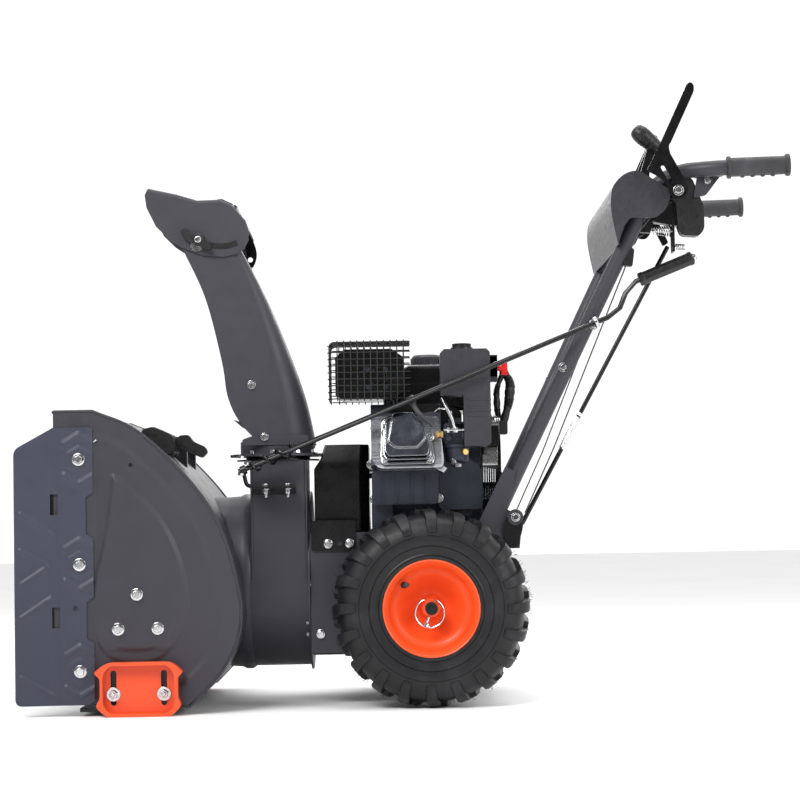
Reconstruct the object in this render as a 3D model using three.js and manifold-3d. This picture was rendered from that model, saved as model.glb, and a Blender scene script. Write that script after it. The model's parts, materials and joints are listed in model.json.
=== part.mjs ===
// Two-stage snow blower. Millimetres, +Z up, the auger faces -X and the operator stands at +X, facing it.
// Left and right are the operator's: left is -Y. The machine is laid out from its axle, at X = 0.
import * as THREE from "three";
import { mergeVertices } from "three/addons/utils/BufferGeometryUtils.js";
import Module from "manifold-3d";

// Driving dimensions.
const GAP = 0.3;
const SHEET = 3;
const AXLE_Z = 166;
const TYRE_RADIUS = 166;
const RIM_SEAT = 77;
const TYRE_WIDTH = 104;
const WHEEL_Y = 213;
const HOUSING_HALF = 289;
const HOUSING_TOP = 503;
const HOUSING_FRONT = -621;
const HOUSING_BOTTOM = 14;
const AUGER_X = -485;
const AUGER_Z = 158;
const AUGER_RADIUS = 138;
const DRUM_Z = 210;
const DRUM_RADIUS = 149;
const DRUM_BACK = -208;
const IMPELLER_RADIUS = 138;
const CHUTE_X = -260;
const CHUTE_Y = -80;
const CHUTE_RADIUS = 65;
const RING_Z = 427;
const RING_RADIUS = 82;
const CHASSIS_HALF = 150;
const CHASSIS_FRONT = -204;
const CHASSIS_BACK = 120;
const CHASSIS_BOTTOM = 89;
const DECK_Z = 294;
const CRANKSHAFT_Z = 400;
const CYLINDER_TILT = THREE.MathUtils.degToRad(20);
const TUBE_RADIUS = 13;
const GRIP_RADIUS = 16;
const GRIP_Y = 265;
const LEVER_PIVOT = [423, 854];
const LEVER_PLATE = [GRIP_Y + TUBE_RADIUS + 1.3, GRIP_Y + TUBE_RADIUS + 4.3];
const CENTRING = 36.7;

const wasm = await Module();
wasm.setup();

// Solids: every shape becomes one closed body whose faces point out.
function solid(shape) {
  if (shape instanceof wasm.Manifold) return shape;
  const bare = shape.clone();
  bare.deleteAttribute("normal");
  bare.deleteAttribute("uv");
  const merged = mergeVertices(bare, 1e-3);
  const vertProperties = new Float32Array(merged.attributes.position.array);
  const triVerts = new Uint32Array(merged.index.array);
  const made = new wasm.Manifold(new wasm.Mesh({ numProp: 3, vertProperties, triVerts }));
  if (made.volume() > 0) return made;
  for (let i = 0; i < triVerts.length; i += 3) {
    [triVerts[i + 1], triVerts[i + 2]] = [triVerts[i + 2], triVerts[i + 1]];
  }
  return new wasm.Manifold(new wasm.Mesh({ numProp: 3, vertProperties, triVerts }));
}

function surface(shape) {
  const { numProp, vertProperties, triVerts } = solid(shape).getMesh();
  const position = new THREE.BufferAttribute(vertProperties.slice(), numProp);
  const index = new THREE.BufferAttribute(triVerts.slice(), 1);
  return new THREE.BufferGeometry().setAttribute("position", position).setIndex(index);
}

const join = (...shapes) => shapes.map(solid).reduce((all, one) => all.add(one));
const cut = (body, ...tools) => tools.map(solid).reduce((all, one) => all.subtract(one), solid(body));
const keep = (body, limit) => solid(body).intersect(solid(limit));
const mirrored = (shape) => surface(shape).scale(1, -1, 1);

// Shapes in the machine's frame.
const box = (x, y, z) =>
  new THREE.BoxGeometry(x[1] - x[0], y[1] - y[0], z[1] - z[0]).translate(
    (x[0] + x[1]) / 2,
    (y[0] + y[1]) / 2,
    (z[0] + z[1]) / 2,
  );

const AXES = {
  x: new THREE.Matrix4().makeBasis(
    new THREE.Vector3(0, 0, -1),
    new THREE.Vector3(1, 0, 0),
    new THREE.Vector3(0, -1, 0),
  ),
  y: new THREE.Matrix4(),
  z: new THREE.Matrix4().makeRotationX(Math.PI / 2),
};

// A point at a distance along an axis; at holds its other two coordinates.
function onAxis(axis, along, at) {
  if (axis === "x") return [along, ...at];
  if (axis === "y") return [at[0], along, at[1]];
  return [...at, along];
}

// A round bar along an axis, from span[0] to span[1], through the point at.
function bar(axis, radius, span, at, sides = 16) {
  const length = span[1] - span[0];
  const middle = (span[0] + span[1]) / 2;
  const shape = new THREE.CylinderGeometry(radius, radius, length, sides).applyMatrix4(AXES[axis]);
  return shape.translate(...onAxis(axis, middle, at));
}

// A ring turned about an axis from a closed profile of [radius, place along the axis] points.
function turned(axis, profile, at, sides = 32) {
  const points = [...profile, profile[0]].map(([radius, along]) => new THREE.Vector2(radius, along));
  const shape = new THREE.LatheGeometry(points, sides).applyMatrix4(AXES[axis]);
  return shape.translate(...onAxis(axis, 0, at));
}

const ring = (axis, inner, outer, span, at, sides = 32) => {
  const profile = [[inner, span[0]], [outer, span[0]], [outer, span[1]], [inner, span[1]]];
  return turned(axis, profile, at, sides);
};

const outline = (points) => new THREE.Shape(points.map(([a, b]) => new THREE.Vector2(a, b)));

// Flat plates: an outline in the XZ, YZ or XY plane, thick along the third axis.
function plate(normal, points, span) {
  const shape = points instanceof THREE.Shape ? points : outline(points);
  const depth = span[1] - span[0];
  const geometry = new THREE.ExtrudeGeometry(shape, { depth, bevelEnabled: false, curveSegments: 8 });
  if (normal === "z") return geometry.translate(0, 0, span[0]);
  if (normal === "y") return geometry.rotateX(Math.PI / 2).translate(0, span[1], 0);
  const cyclic = new THREE.Matrix4().makeBasis(
    new THREE.Vector3(0, 1, 0),
    new THREE.Vector3(0, 0, 1),
    new THREE.Vector3(1, 0, 0),
  );
  return geometry.applyMatrix4(cyclic).translate(span[0], 0, 0);
}

const corner = (a, b, distance) => a.clone().add(b.clone().sub(a).setLength(distance));

// A path of straight runs with round corners.
function bentPath(points, bend) {
  const corners = points.map((point) => new THREE.Vector3(...point));
  const path = new THREE.CurvePath();
  let from = corners[0];
  for (let i = 1; i < corners.length - 1; i += 1) {
    const before = corner(corners[i], corners[i - 1], bend);
    const after = corner(corners[i], corners[i + 1], bend);
    path.add(new THREE.LineCurve3(from, before));
    path.add(new THREE.QuadraticBezierCurve3(before, corners[i], after));
    from = after;
  }
  path.add(new THREE.LineCurve3(from, corners.at(-1)));
  return path;
}

function sweep(path, radius, steps, sides = 10) {
  const section = new THREE.Shape().absarc(0, 0, radius, 0, 2 * Math.PI);
  return new THREE.ExtrudeGeometry(section, {
    steps,
    curveSegments: sides / 2,
    bevelEnabled: false,
    extrudePath: path,
  });
}

// Moves every vertex of a shape by a rule.
function warp(geometry, rule) {
  const place = geometry.attributes.position;
  for (let i = 0; i < place.count; i += 1) {
    place.setXYZ(i, ...rule(place.getX(i), place.getY(i), place.getZ(i)));
  }
  return geometry;
}

const finish = (color, roughness, metalness) =>
  new THREE.MeshStandardMaterial({ color, roughness, metalness });
const FINISH = {
  body: finish(0x46444b, 0.5, 0.3),
  slate: finish(0x4c4f61, 0.45, 0.3),
  orange: finish(0xfa5f32, 0.35, 0.1),
  black: finish(0x232326, 0.45, 0.2),
  plastic: finish(0x3a393f, 0.6, 0),
  rubber: finish(0x1d1d1f, 0.85, 0),
  steel: finish(0xb9babd, 0.35, 1),
  cast: finish(0x3c424c, 0.5, 0.6),
  bright: finish(0xc9ced4, 0.25, 1),
  red: finish(0xe0281c, 0.4, 0),
};

const machine = new THREE.Group();
machine.position.x = CENTRING;

function add(name, shape, material, parent = machine) {
  const mesh = new THREE.Mesh(surface(shape), material);
  mesh.name = name;
  parent.add(mesh);
}

function addPair(name, rightShape, material, parent = machine) {
  add("right_" + name, rightShape, material, parent);
  add("left_" + name, mirrored(rightShape), material, parent);
}

function groupAt(x, y, z) {
  const group = new THREE.Group();
  group.position.set(x, y, z);
  machine.add(group);
  return group;
}

// Auger housing: a sheet bent round the back of the augers, between two side plates.
const HOUSING_CURVE = new THREE.SplineCurve(
  [
    [-556, HOUSING_TOP],
    [-482, 468],
    [-394, 381],
    [-342, 293],
    [-314, 165],
    [-340, 81],
    [-399, HOUSING_BOTTOM],
  ].map(([x, z]) => new THREE.Vector2(x, z)),
);
const HOUSING_STEPS = 18;

// The housing's back curve, moved inwards by inset.
function housingBack(inset) {
  return Array.from({ length: HOUSING_STEPS + 1 }, (_, i) => {
    const at = i / HOUSING_STEPS;
    const point = HOUSING_CURVE.getPointAt(at);
    const along = HOUSING_CURVE.getTangentAt(at);
    if (i === 0) along.set(1, 0);
    if (i === HOUSING_STEPS) along.set(-1, 0);
    return [point.x + along.y * inset, point.y - along.x * inset];
  });
}

const FLOOR_FRONT = -545;
const shellBand = [
  [HOUSING_FRONT, HOUSING_TOP],
  ...housingBack(0),
  [FLOOR_FRONT, HOUSING_BOTTOM],
  [FLOOR_FRONT, HOUSING_BOTTOM + SHEET],
  ...housingBack(SHEET).reverse(),
  [HOUSING_FRONT, HOUSING_TOP - SHEET],
];
const wholeHousing = [
  [HOUSING_FRONT, HOUSING_TOP],
  ...housingBack(-GAP),
  [FLOOR_FRONT, HOUSING_BOTTOM],
];
const drumMouth = bar("x", DRUM_RADIUS - 6, [-430, -250], [0, DRUM_Z], 32);
const TOOL_AT = [-433, 455];
const TOOL_RADIUS = 9;
const clip = (y) =>
  cut(
    plate("y", [[-447, 432], [-446, 458], [-420, 458], [-420, 404]], [y - 7, y + 7]),
    bar("y", TOOL_RADIUS + 1, [y - 8, y + 8], TOOL_AT, 12),
    box([TOOL_AT[0] - TOOL_RADIUS - 1, TOOL_AT[0] + TOOL_RADIUS + 1], [y - 8, y + 8], [TOOL_AT[1], 470]),
  );
add(
  "auger_housing",
  join(cut(plate("y", shellBand, [-HOUSING_HALF, HOUSING_HALF]), drumMouth), clip(-60), clip(110)),
  FINISH.body,
);

const PLATE_OUT = HOUSING_HALF;
const PLATE_IN = PLATE_OUT - SHEET;
const SHAFT_RADIUS = 9.5;
const sideOutline = [
  [HOUSING_FRONT, HOUSING_TOP - SHEET - GAP],
  ...housingBack(SHEET + GAP),
  [FLOOR_FRONT, HOUSING_BOTTOM + SHEET + GAP],
  [-561, 33],
  [HOUSING_FRONT, 95],
];
const sidePlate = cut(
  join(
    plate("y", sideOutline, [PLATE_IN, PLATE_OUT]),
    bar("y", 42, [PLATE_OUT - 1, PLATE_OUT + 2], [AUGER_X, AUGER_Z], 32),
    bar("y", 26, [PLATE_IN - 14, PLATE_IN + 1], [AUGER_X, AUGER_Z], 24),
  ),
  bar("y", SHAFT_RADIUS + 1, [PLATE_IN - 15, PLATE_IN - 1], [AUGER_X, AUGER_Z]),
);
addPair("side_plate", sidePlate, FINISH.body);

add(
  "scraper_bar",
  box([-582, -532], [-HOUSING_HALF + 6, HOUSING_HALF - 6], [7, HOUSING_BOTTOM - GAP]),
  FINISH.black,
);

// Drift wings: flat plates with a front leaf bent outwards, bolted outside the side plates.
const WING_IN = PLATE_OUT + GAP;
const WING_FRONT = -685;
const WING_BEND = -618;
const WING_FLARE = 10;
const wingEdge = [
  [-556, 476],
  [-621, 476],
  [WING_FRONT, 437],
  [WING_FRONT, 30],
  [WING_FRONT + 12, 19],
  [-568, 19],
  [-556, 30],
  [-556, 120],
  [-568, 128],
  [-568, 188],
  [-556, 196],
  [-556, 292],
  [-568, 300],
  [-568, 360],
  [-556, 368],
];
const wingSlots = [
  box([-627, -614], [WING_IN - 5, WING_IN + 20], [332, 366]),
  box([-625, -612], [WING_IN - 5, WING_IN + 20], [146, 180]),
];
const flatWing = cut(plate("y", wingEdge, [WING_IN, WING_IN + 2.5]), ...wingSlots);
const leafBeyond = (x) => Math.max(0, (WING_BEND - x) / (WING_BEND - WING_FRONT));
const strip = keep(flatWing, box([WING_BEND, -500], [0, 400], [0, 600]));
const leaf = warp(surface(keep(flatWing, box([-800, WING_BEND], [0, 400], [0, 600]))), (x, y, z) => [
  x,
  y + WING_FLARE * leafBeyond(x),
  z,
]);
addPair("drift_wing", join(strip, leaf), FINISH.slate);

// Skid shoes: pressed plates with turned-out rims, slotted for height.
const SHOE_IN = PLATE_OUT + GAP;
const SHOE_FRONT = -545;
const SHOE_BACK = -418;
const SHOE_TOP = 89;
const SHOE_RIM = 25;
const SHOE_SLOTS = [-525, -442];
const shoeEdge = [
  [SHOE_FRONT + 20, 0],
  [SHOE_BACK - 20, 0],
  [SHOE_BACK + 6, 18],
  [SHOE_BACK, 30],
  [SHOE_BACK, 62],
  [SHOE_BACK + 8, 70],
  [SHOE_BACK - 26, SHOE_TOP],
  [SHOE_FRONT + 20, SHOE_TOP],
  [SHOE_FRONT - 10, 70],
  [SHOE_FRONT, 62],
  [SHOE_FRONT, 30],
  [SHOE_FRONT - 8, 18],
];
const shoePocket = [
  [SHOE_FRONT + 22, 5],
  [SHOE_BACK - 22, 5],
  [SHOE_BACK - 5, 24],
  [SHOE_BACK - 5, 66],
  [SHOE_BACK - 27, SHOE_TOP - 5],
  [SHOE_FRONT + 22, SHOE_TOP - 5],
  [SHOE_FRONT + 5, 66],
  [SHOE_FRONT + 5, 24],
];
const shoe = cut(
  plate("y", shoeEdge, [SHOE_IN, SHOE_IN + SHOE_RIM]),
  plate("y", shoePocket, [SHOE_IN + 4, SHOE_IN + SHOE_RIM + 1]),
  ...SHOE_SLOTS.map((x) => box([x - 5, x + 5], [SHOE_IN - 1, SHOE_IN + 6], [18, 72])),
);
addPair("skid_shoe", shoe, FINISH.orange);

// Impeller drum: a short tube along X whose top opens into the stack under the chute.
const STACK_X = [-305, DRUM_BACK];
const STACK_Y = [-147, -13];
const STACK_TOP = 419;
const grown = ([low, high], by) => [low - by, high + by];
const drumBarrel = join(
  bar("x", DRUM_RADIUS, [-430, DRUM_BACK], [0, DRUM_Z], 36),
  bar("x", DRUM_RADIUS + 8, [DRUM_BACK - 0.5, DRUM_BACK + 3], [0, DRUM_Z], 36),
  box(STACK_X, STACK_Y, [DRUM_Z, STACK_TOP]),
);
const drumBore = join(
  bar("x", DRUM_RADIUS - SHEET, [-431, DRUM_BACK - SHEET], [0, DRUM_Z], 36),
  box(grown(STACK_X, -SHEET), grown(STACK_Y, -SHEET), [DRUM_Z, STACK_TOP + 1]),
);
add(
  "impeller_drum",
  cut(
    drumBarrel,
    drumBore,
    plate("y", wholeHousing, [-400, 400]),
    bar("x", 16, [-230, -190], [0, DRUM_Z]),
  ),
  FINISH.body,
);

// Auger rotor, turning about Y: a shaft and two pairs of ribbon flights on sleeves.
const auger = groupAt(AUGER_X, 0, AUGER_Z);
add("auger_shaft", bar("y", SHAFT_RADIUS, [-PLATE_IN + 2, PLATE_IN - 2], [0, 0]), FINISH.steel, auger);

const FLIGHT_SPAN = [44, 266];
const RIBBON_WIDTH = 32;
function ribbon(start) {
  const [low, high] = FLIGHT_SPAN;
  const strip = new THREE.BoxGeometry(RIBBON_WIDTH, high - low, 4, 1, 14, 1);
  return warp(strip, (x, y, z) => {
    const angle = start - (2 * Math.PI * y) / (high - low);
    const radius = AUGER_RADIUS - RIBBON_WIDTH / 2 + x;
    return [radius * Math.cos(angle), (low + high) / 2 + y + z, radius * Math.sin(angle)];
  });
}
// An arm that carries a ribbon's end from the sleeve.
function ribbonArm(start, along) {
  const [low, high] = FLIGHT_SPAN;
  const angle = start - 2 * Math.PI * ((along - low) / (high - low) - 0.5);
  const reach = AUGER_RADIUS - RIBBON_WIDTH + 4;
  return box([10, reach], [along - 3, along + 3], [-13, 13]).rotateY(-angle);
}
const flight = join(
  ring("y", SHAFT_RADIUS + GAP, 15, FLIGHT_SPAN, [0, 0], 20),
  ...[0, Math.PI].flatMap((start) => [
    ribbon(start),
    ...[0.03, 0.5, 0.97].map((part) =>
      ribbonArm(start, THREE.MathUtils.lerp(...FLIGHT_SPAN, part)),
    ),
  ]),
);
addPair("auger_flight", flight, FINISH.black, auger);

add(
  "auger_gearbox",
  cut(
    join(
      bar("y", 46, [-31, 31], [AUGER_X, AUGER_Z], 28),
      bar("x", 26, [AUGER_X - 52, AUGER_X + 74], [0, DRUM_Z], 24),
      box([AUGER_X - 30, AUGER_X + 30], [-22, 22], [AUGER_Z, DRUM_Z]),
    ),
    bar("y", SHAFT_RADIUS + 1, [-60, 60], [AUGER_X, AUGER_Z]),
    bar("x", SHAFT_RADIUS + 1, [AUGER_X - 42, AUGER_X + 80], [0, DRUM_Z]),
  ),
  FINISH.cast,
);

// Impeller rotor, turning about X, with its belt pulley behind the drum.
const impellerRotor = groupAt(0, 0, DRUM_Z);
const BLADES = 4;
const blade = box([-297, -222], [16, IMPELLER_RADIUS], [-2.5, 2.5]);
const bladeTip = box([-297, -222], [IMPELLER_RADIUS - 14, IMPELLER_RADIUS - 9], [-2.5, 20]);
add(
  "impeller",
  cut(
    join(
      bar("x", 22, [-298, -220], [0, 0]),
      ...Array.from({ length: BLADES }, (_, i) =>
        join(blade, bladeTip).rotate([(360 * i) / BLADES, 0, 0]),
      ),
    ),
    bar("x", SHAFT_RADIUS + GAP, [-300, -218], [0, 0]),
  ),
  FINISH.orange,
  impellerRotor,
);
function pulley(radius, x) {
  const root = radius - 9;
  const profile = [[8, x - 9], [radius, x - 9], [root, x - 2], [root, x + 2], [radius, x + 9], [8, x + 9]];
  return turned("x", profile, [0, 0], 22);
}
const PULLEY_X = [-156, -124];
add(
  "impeller_shaft",
  join(bar("x", SHAFT_RADIUS, [AUGER_X - 40, PULLEY_X[0] + 8], [0, 0]), pulley(80, PULLEY_X[0])),
  FINISH.steel,
  impellerRotor,
);

// Chute: a fixed collar on the stack, and a channel, open at the front, that swivels on it.
const COLLAR_RADIUS = CHUTE_RADIUS - 9;
const collarBase = [CHUTE_RADIUS - 14, CHUTE_RADIUS + 7];
add(
  "chute_collar",
  join(
    ring("z", ...collarBase, [STACK_TOP + GAP, STACK_TOP + 3], [CHUTE_X, CHUTE_Y], 24),
    ring("z", CHUTE_RADIUS - 12, COLLAR_RADIUS, [STACK_TOP + 1, RING_Z + 16], [CHUTE_X, CHUTE_Y], 24),
  ),
  FINISH.black,
);

const chuteCurve = (points) => new THREE.SplineCurve(points.map(([x, z]) => new THREE.Vector2(x, z)));
const CHUTE_REAR = chuteCurve([[-195.5, 446], [-214, 531], [-248, 628], [-282, 710], [-321, 789]]);
const CHUTE_FRONT = chuteCurve([[-290, 450], [-336, 500], [-352, 590], [-378, 700], [-417, 788]]);
const CHUTE_WALL = 3;
const CHUTE_STEPS = 7;
// across runs from -1 to 1 round the channel, up from 0 to 1, and depth is 0 outside and CHUTE_WALL inside.
function chutePoint(across, up, depth) {
  const rear = CHUTE_REAR.getPointAt(up);
  const towards = CHUTE_FRONT.getPointAt(up).sub(rear);
  const reach = towards.length();
  towards.normalize();
  const half = CHUTE_RADIUS - depth;
  const round = 0.72;
  const nose = Math.min(reach * 0.8, 58);
  let forward = reach;
  let aside = Math.sign(across) * half;
  if (Math.abs(across) <= round) {
    const turn = (across / round) * (Math.PI / 2);
    forward = nose - (nose - depth) * Math.cos(turn);
    aside = half * Math.sin(turn);
  }
  return [rear.x + towards.x * forward, CHUTE_Y + aside, rear.y + towards.y * forward];
}
const chuteChannel = warp(
  new THREE.BoxGeometry(2, 1, CHUTE_WALL, 12, CHUTE_STEPS, 1),
  (x, y, z) => chutePoint(x, y + 0.5, z + CHUTE_WALL / 2),
);
const DEFLECTOR_PIVOT = [-350, 858];
// The ear stays inside the sweep of the hood's rear lip, 8 mm from the pivot.
const earEdge = [
  [-344, 770],
  [-343.2, 855],
  [-345, 863],
  [-350, 865.2],
  [-355, 863],
  [-358, 856],
  [-372, 770],
];
const hingeEar = (y) => plate("y", earEdge, [y - 1.5, y + 1.5]);
const skirt = join(
  ring("z", COLLAR_RADIUS + 1, RING_RADIUS, [RING_Z, RING_Z + 4], [CHUTE_X, CHUTE_Y], 24),
  ring("z", COLLAR_RADIUS + 1, CHUTE_RADIUS, [RING_Z, RING_Z + 26], [CHUTE_X, CHUTE_Y], 24),
);
const NOTCHES = 19;
const notches = Array.from({ length: NOTCHES }, (_, i) =>
  box([RING_RADIUS - 10, RING_RADIUS + 2], [-3, 3], [RING_Z - 1, RING_Z + 5])
    .rotateZ((2 * Math.PI * i) / NOTCHES)
    .translate(CHUTE_X, CHUTE_Y, 0),
);
const earY = CHUTE_RADIUS - CHUTE_WALL / 2;
const HOOD_OUT = CHUTE_RADIUS + 4;
const HOOD_IN = CHUTE_RADIUS + 1.5;
const hood = (half) => [CHUTE_Y - half, CHUTE_Y + half];
const hingeBolt = [
  bar("y", 4.6, hood(HOOD_OUT + 2), DEFLECTOR_PIVOT, 12),
  bar("y", 8, [CHUTE_Y - HOOD_OUT - 5, CHUTE_Y - HOOD_OUT - GAP], DEFLECTOR_PIVOT, 6),
  bar("y", 8, [CHUTE_Y + HOOD_OUT + GAP, CHUTE_Y + HOOD_OUT + 5], DEFLECTOR_PIVOT, 6),
];
add(
  "chute",
  cut(
    join(
      chuteChannel,
      cut(skirt, ...notches),
      hingeEar(CHUTE_Y - earY),
      hingeEar(CHUTE_Y + earY),
      ...hingeBolt,
    ),
    bar("z", COLLAR_RADIUS + 1, [RING_Z - 1, RING_Z + 22], [CHUTE_X, CHUTE_Y], 24),
  ),
  FINISH.body,
);

// Deflector: a hood over the top of the chute, on a hinge pin, held by a bolt in an arc slot.
const hoodEdge = [
  [-474, 892],
  [-480, 878],
  [-476, 857],
  [-461, 825],
  [-440, 806],
  [-416, 788],
  [-381, 774],
  [-347, 771],
  [-325, 776],
  [-311, 791],
  [-307, 809],
  [-321, 837],
  [-331, 860],
  [-350, 872],
  [-390, 870],
  [-425, 882],
];
const hoodHollow = [
  [-490, 889],
  [-500, 750],
  [-290, 750],
  [-290, 830],
  [-334, 857.5],
  [-350, 869.5],
  [-390, 867.5],
  [-425, 879.5],
  [-474, 889.5],
];
const SLOT_RADIUS = 69;
const slotAngles = [-0.74, -0.5, -0.26, -0.02, 0.2, 0.42].map((turn) => turn - Math.PI / 2);
const slotArc = (radius) =>
  slotAngles.map((angle) => [
    DEFLECTOR_PIVOT[0] + radius * Math.cos(angle),
    DEFLECTOR_PIVOT[1] + radius * Math.sin(angle),
  ]);
const slot = [...slotArc(SLOT_RADIUS + 5), ...slotArc(SLOT_RADIUS - 5).reverse()];
add(
  "deflector",
  cut(
    plate("y", hoodEdge, hood(HOOD_OUT)),
    plate("y", hoodHollow, hood(HOOD_IN)),
    plate("y", slot, hood(HOOD_OUT + 5)),
    bar("y", 5, hood(HOOD_OUT + 5), DEFLECTOR_PIVOT, 12),
  ),
  FINISH.body,
);
const slotBolt = [DEFLECTOR_PIVOT[0] - 38, DEFLECTOR_PIVOT[1] - 58];
const knobY = [CHUTE_Y - HOOD_OUT - 13, CHUTE_Y - HOOD_OUT - GAP];
add(
  "deflector_knob",
  join(
    bar("y", 14, knobY, slotBolt, 10),
    box([slotBolt[0] - 26, slotBolt[0] + 26], [knobY[0], knobY[1] - 4], [slotBolt[1] - 6, slotBolt[1] + 6]),
  ),
  FINISH.black,
);

// Crank: a rod from the wire worm beside the chute ring to a cranked grip behind the handle.
const CRANK_START = new THREE.Vector3(-322, -186, 400);
const CRANK_EYE = new THREE.Vector3(288, -207, 642);
const crankAxis = CRANK_EYE.clone().sub(CRANK_START).normalize();
const crankUp = new THREE.Vector3(-crankAxis.z, 0, crankAxis.x).normalize();
const crankSide = new THREE.Vector3().crossVectors(crankAxis, crankUp);
const onCrank = (along, up = 0, side = 0) =>
  CRANK_START.clone()
    .addScaledVector(crankAxis, along)
    .addScaledVector(crankUp, up)
    .addScaledVector(crankSide, side);
const CRANK_THROW = 38;
const EYE_AT = CRANK_EYE.distanceTo(CRANK_START);
const GRIP_SPAN = [EYE_AT + 95, EYE_AT + 193];
const crankRoute = [
  onCrank(0),
  onCrank(EYE_AT + 40),
  onCrank(EYE_AT + 76, CRANK_THROW),
  onCrank(GRIP_SPAN[1] + 4, CRANK_THROW),
].map((point) => point.toArray());
const WORM_TURNS = 3;
const WORM_LEAD = (2 * Math.PI * RING_RADIUS) / NOTCHES;
const WORM_SPAN = [19, 19 + WORM_TURNS * WORM_LEAD];
class WormCurve extends THREE.Curve {
  getPoint(t) {
    const angle = 2 * Math.PI * WORM_TURNS * t;
    return onCrank(THREE.MathUtils.lerp(...WORM_SPAN, t), 10.5 * Math.cos(angle), 10.5 * Math.sin(angle));
  }
}
const wormArm = (along) => sweep(new THREE.LineCurve3(onCrank(along), onCrank(along, 11)), 2.2, 1, 8);
add(
  "crank_rod",
  join(
    sweep(bentPath(crankRoute, 13), 4.5, 32, 8),
    sweep(new WormCurve(), 2.4, 26, 6),
    ...WORM_SPAN.map(wormArm),
  ),
  FINISH.black,
);
const gripLine = (from, to) =>
  new THREE.LineCurve3(onCrank(from, CRANK_THROW), onCrank(to, CRANK_THROW));
add(
  "crank_grip",
  cut(sweep(gripLine(...GRIP_SPAN), 10.5, 1, 16), sweep(gripLine(EYE_AT + 70, EYE_AT + 210), 5.2, 1, 16)),
  FINISH.black,
);

// Worm bracket: an angle bolted to the stack, whose two ears carry the rod's front end.
const SHELF_Z = 380;
const earAt = (along) => {
  const { x, y, z } = onCrank(along);
  const ear = box([x - 1.5, x + 1.5], [y - 12, y + 12], [SHELF_Z, z + 13]);
  return cut(ear, sweep(new THREE.LineCurve3(onCrank(along - 8), onCrank(along + 8)), 5.6, 1, 14));
};
add(
  "worm_bracket",
  join(
    box([-330, -206], [STACK_Y[0] - 3, STACK_Y[0] - GAP], [356, 400]),
    box([-330, -206], [-208, STACK_Y[0] - GAP], [SHELF_Z - 1, SHELF_Z + 2]),
    earAt(8),
    earAt(112),
  ),
  FINISH.black,
);

// Chassis: a box of sheet with a deck for the engine, open at the front top for the belts.
const chassisSide = [
  [CHASSIS_FRONT, CHASSIS_BOTTOM],
  [CHASSIS_BACK, CHASSIS_BOTTOM],
  [CHASSIS_BACK, 270],
  [150, 392],
  [132, 402],
  [78, DECK_Z],
  [CHASSIS_FRONT, DECK_Z],
];
const insideY = [-CHASSIS_HALF + SHEET, CHASSIS_HALF - SHEET];
const HEX_SHAFT = [-38, 210];
const handleNotch = (side) => {
  const [low, high] = [TUBE_RADIUS * 2 + 2, CHASSIS_HALF - SHEET];
  return box([60, 160], side < 0 ? [-high, -high + low] : [high - low, high], [250, 430]);
};
const PULLEY_AT = [147, 315];
const pulleyBracket = plate(
  "y",
  [[100, 262], [154, 262], [160, 318], [147, 328], [134, 318], [126, 300], [100, 288]],
  [CHASSIS_HALF - 1, CHASSIS_HALF + 2],
);
const bracketPair = (shape) => [shape, mirrored(shape)];
const chassisShell = join(
  plate("y", chassisSide, [-CHASSIS_HALF, CHASSIS_HALF]),
  ...bracketPair(pulleyBracket),
  ...bracketPair(bar("y", 4, [CHASSIS_HALF - 1, CHASSIS_HALF + 26], PULLEY_AT, 12)),
);
add(
  "chassis",
  cut(
    chassisShell,
    box([CHASSIS_FRONT + SHEET, CHASSIS_BACK - SHEET], insideY, [CHASSIS_BOTTOM - 1, DECK_Z - SHEET]),
    box([CHASSIS_FRONT + SHEET, -96], insideY, [DECK_Z - 20, DECK_Z + 1]),
    box([CHASSIS_FRONT - 1, 200], insideY, [DECK_Z, 500]),
    handleNotch(-1),
    handleNotch(1),
    bar("y", 12, [-200, 200], [0, AXLE_Z]),
    bar("y", 9, [-200, 200], HEX_SHAFT),
    bar("x", 16, [CHASSIS_FRONT - 5, CHASSIS_FRONT + 10], [0, DRUM_Z]),
  ),
  FINISH.body,
);
add(
  "bottom_cover",
  box(
    [CHASSIS_FRONT + 2, CHASSIS_BACK - 2],
    [-CHASSIS_HALF + 2, CHASSIS_HALF - 2],
    [CHASSIS_BOTTOM - SHEET, CHASSIS_BOTTOM - GAP],
  ),
  FINISH.body,
);
addPair(
  "cable_pulley",
  turned(
    "y",
    [[4.4, 6], [14, 6], [9, 10], [9, 12], [14, 16], [4.4, 16]].map(([r, y]) => [r, y + CHASSIS_HALF + 2]),
    PULLEY_AT,
    24,
  ),
  FINISH.plastic,
);

// Drive: a disc behind the belts, a friction wheel on its cross shaft, and a gear on the axle.
const driveDisc = groupAt(0, 0, DRUM_Z);
add(
  "drive_disc",
  join(
    bar("x", 8, [PULLEY_X[1] - 14, -86], [0, 0]),
    pulley(66, PULLEY_X[1]),
    bar("x", 68, [-94, -86], [0, 0], 28),
  ),
  FINISH.bright,
  driveDisc,
);
const GEAR_Y = [-128, -118];
add(
  "friction_wheel",
  join(
    bar("y", 7, [-CHASSIS_HALF + 1, CHASSIS_HALF - 1], HEX_SHAFT, 6),
    bar("y", 45, [14, 28], HEX_SHAFT, 32),
    bar("y", 12, GEAR_Y, HEX_SHAFT, 16),
  ),
  FINISH.steel,
);
const wheels = groupAt(0, 0, AXLE_Z);
add(
  "axle",
  join(bar("y", SHAFT_RADIUS, [-WHEEL_Y - 50, WHEEL_Y + 50], [0, 0]), bar("y", 44, GEAR_Y, [0, 0], 32)),
  FINISH.steel,
  wheels,
);

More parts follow.
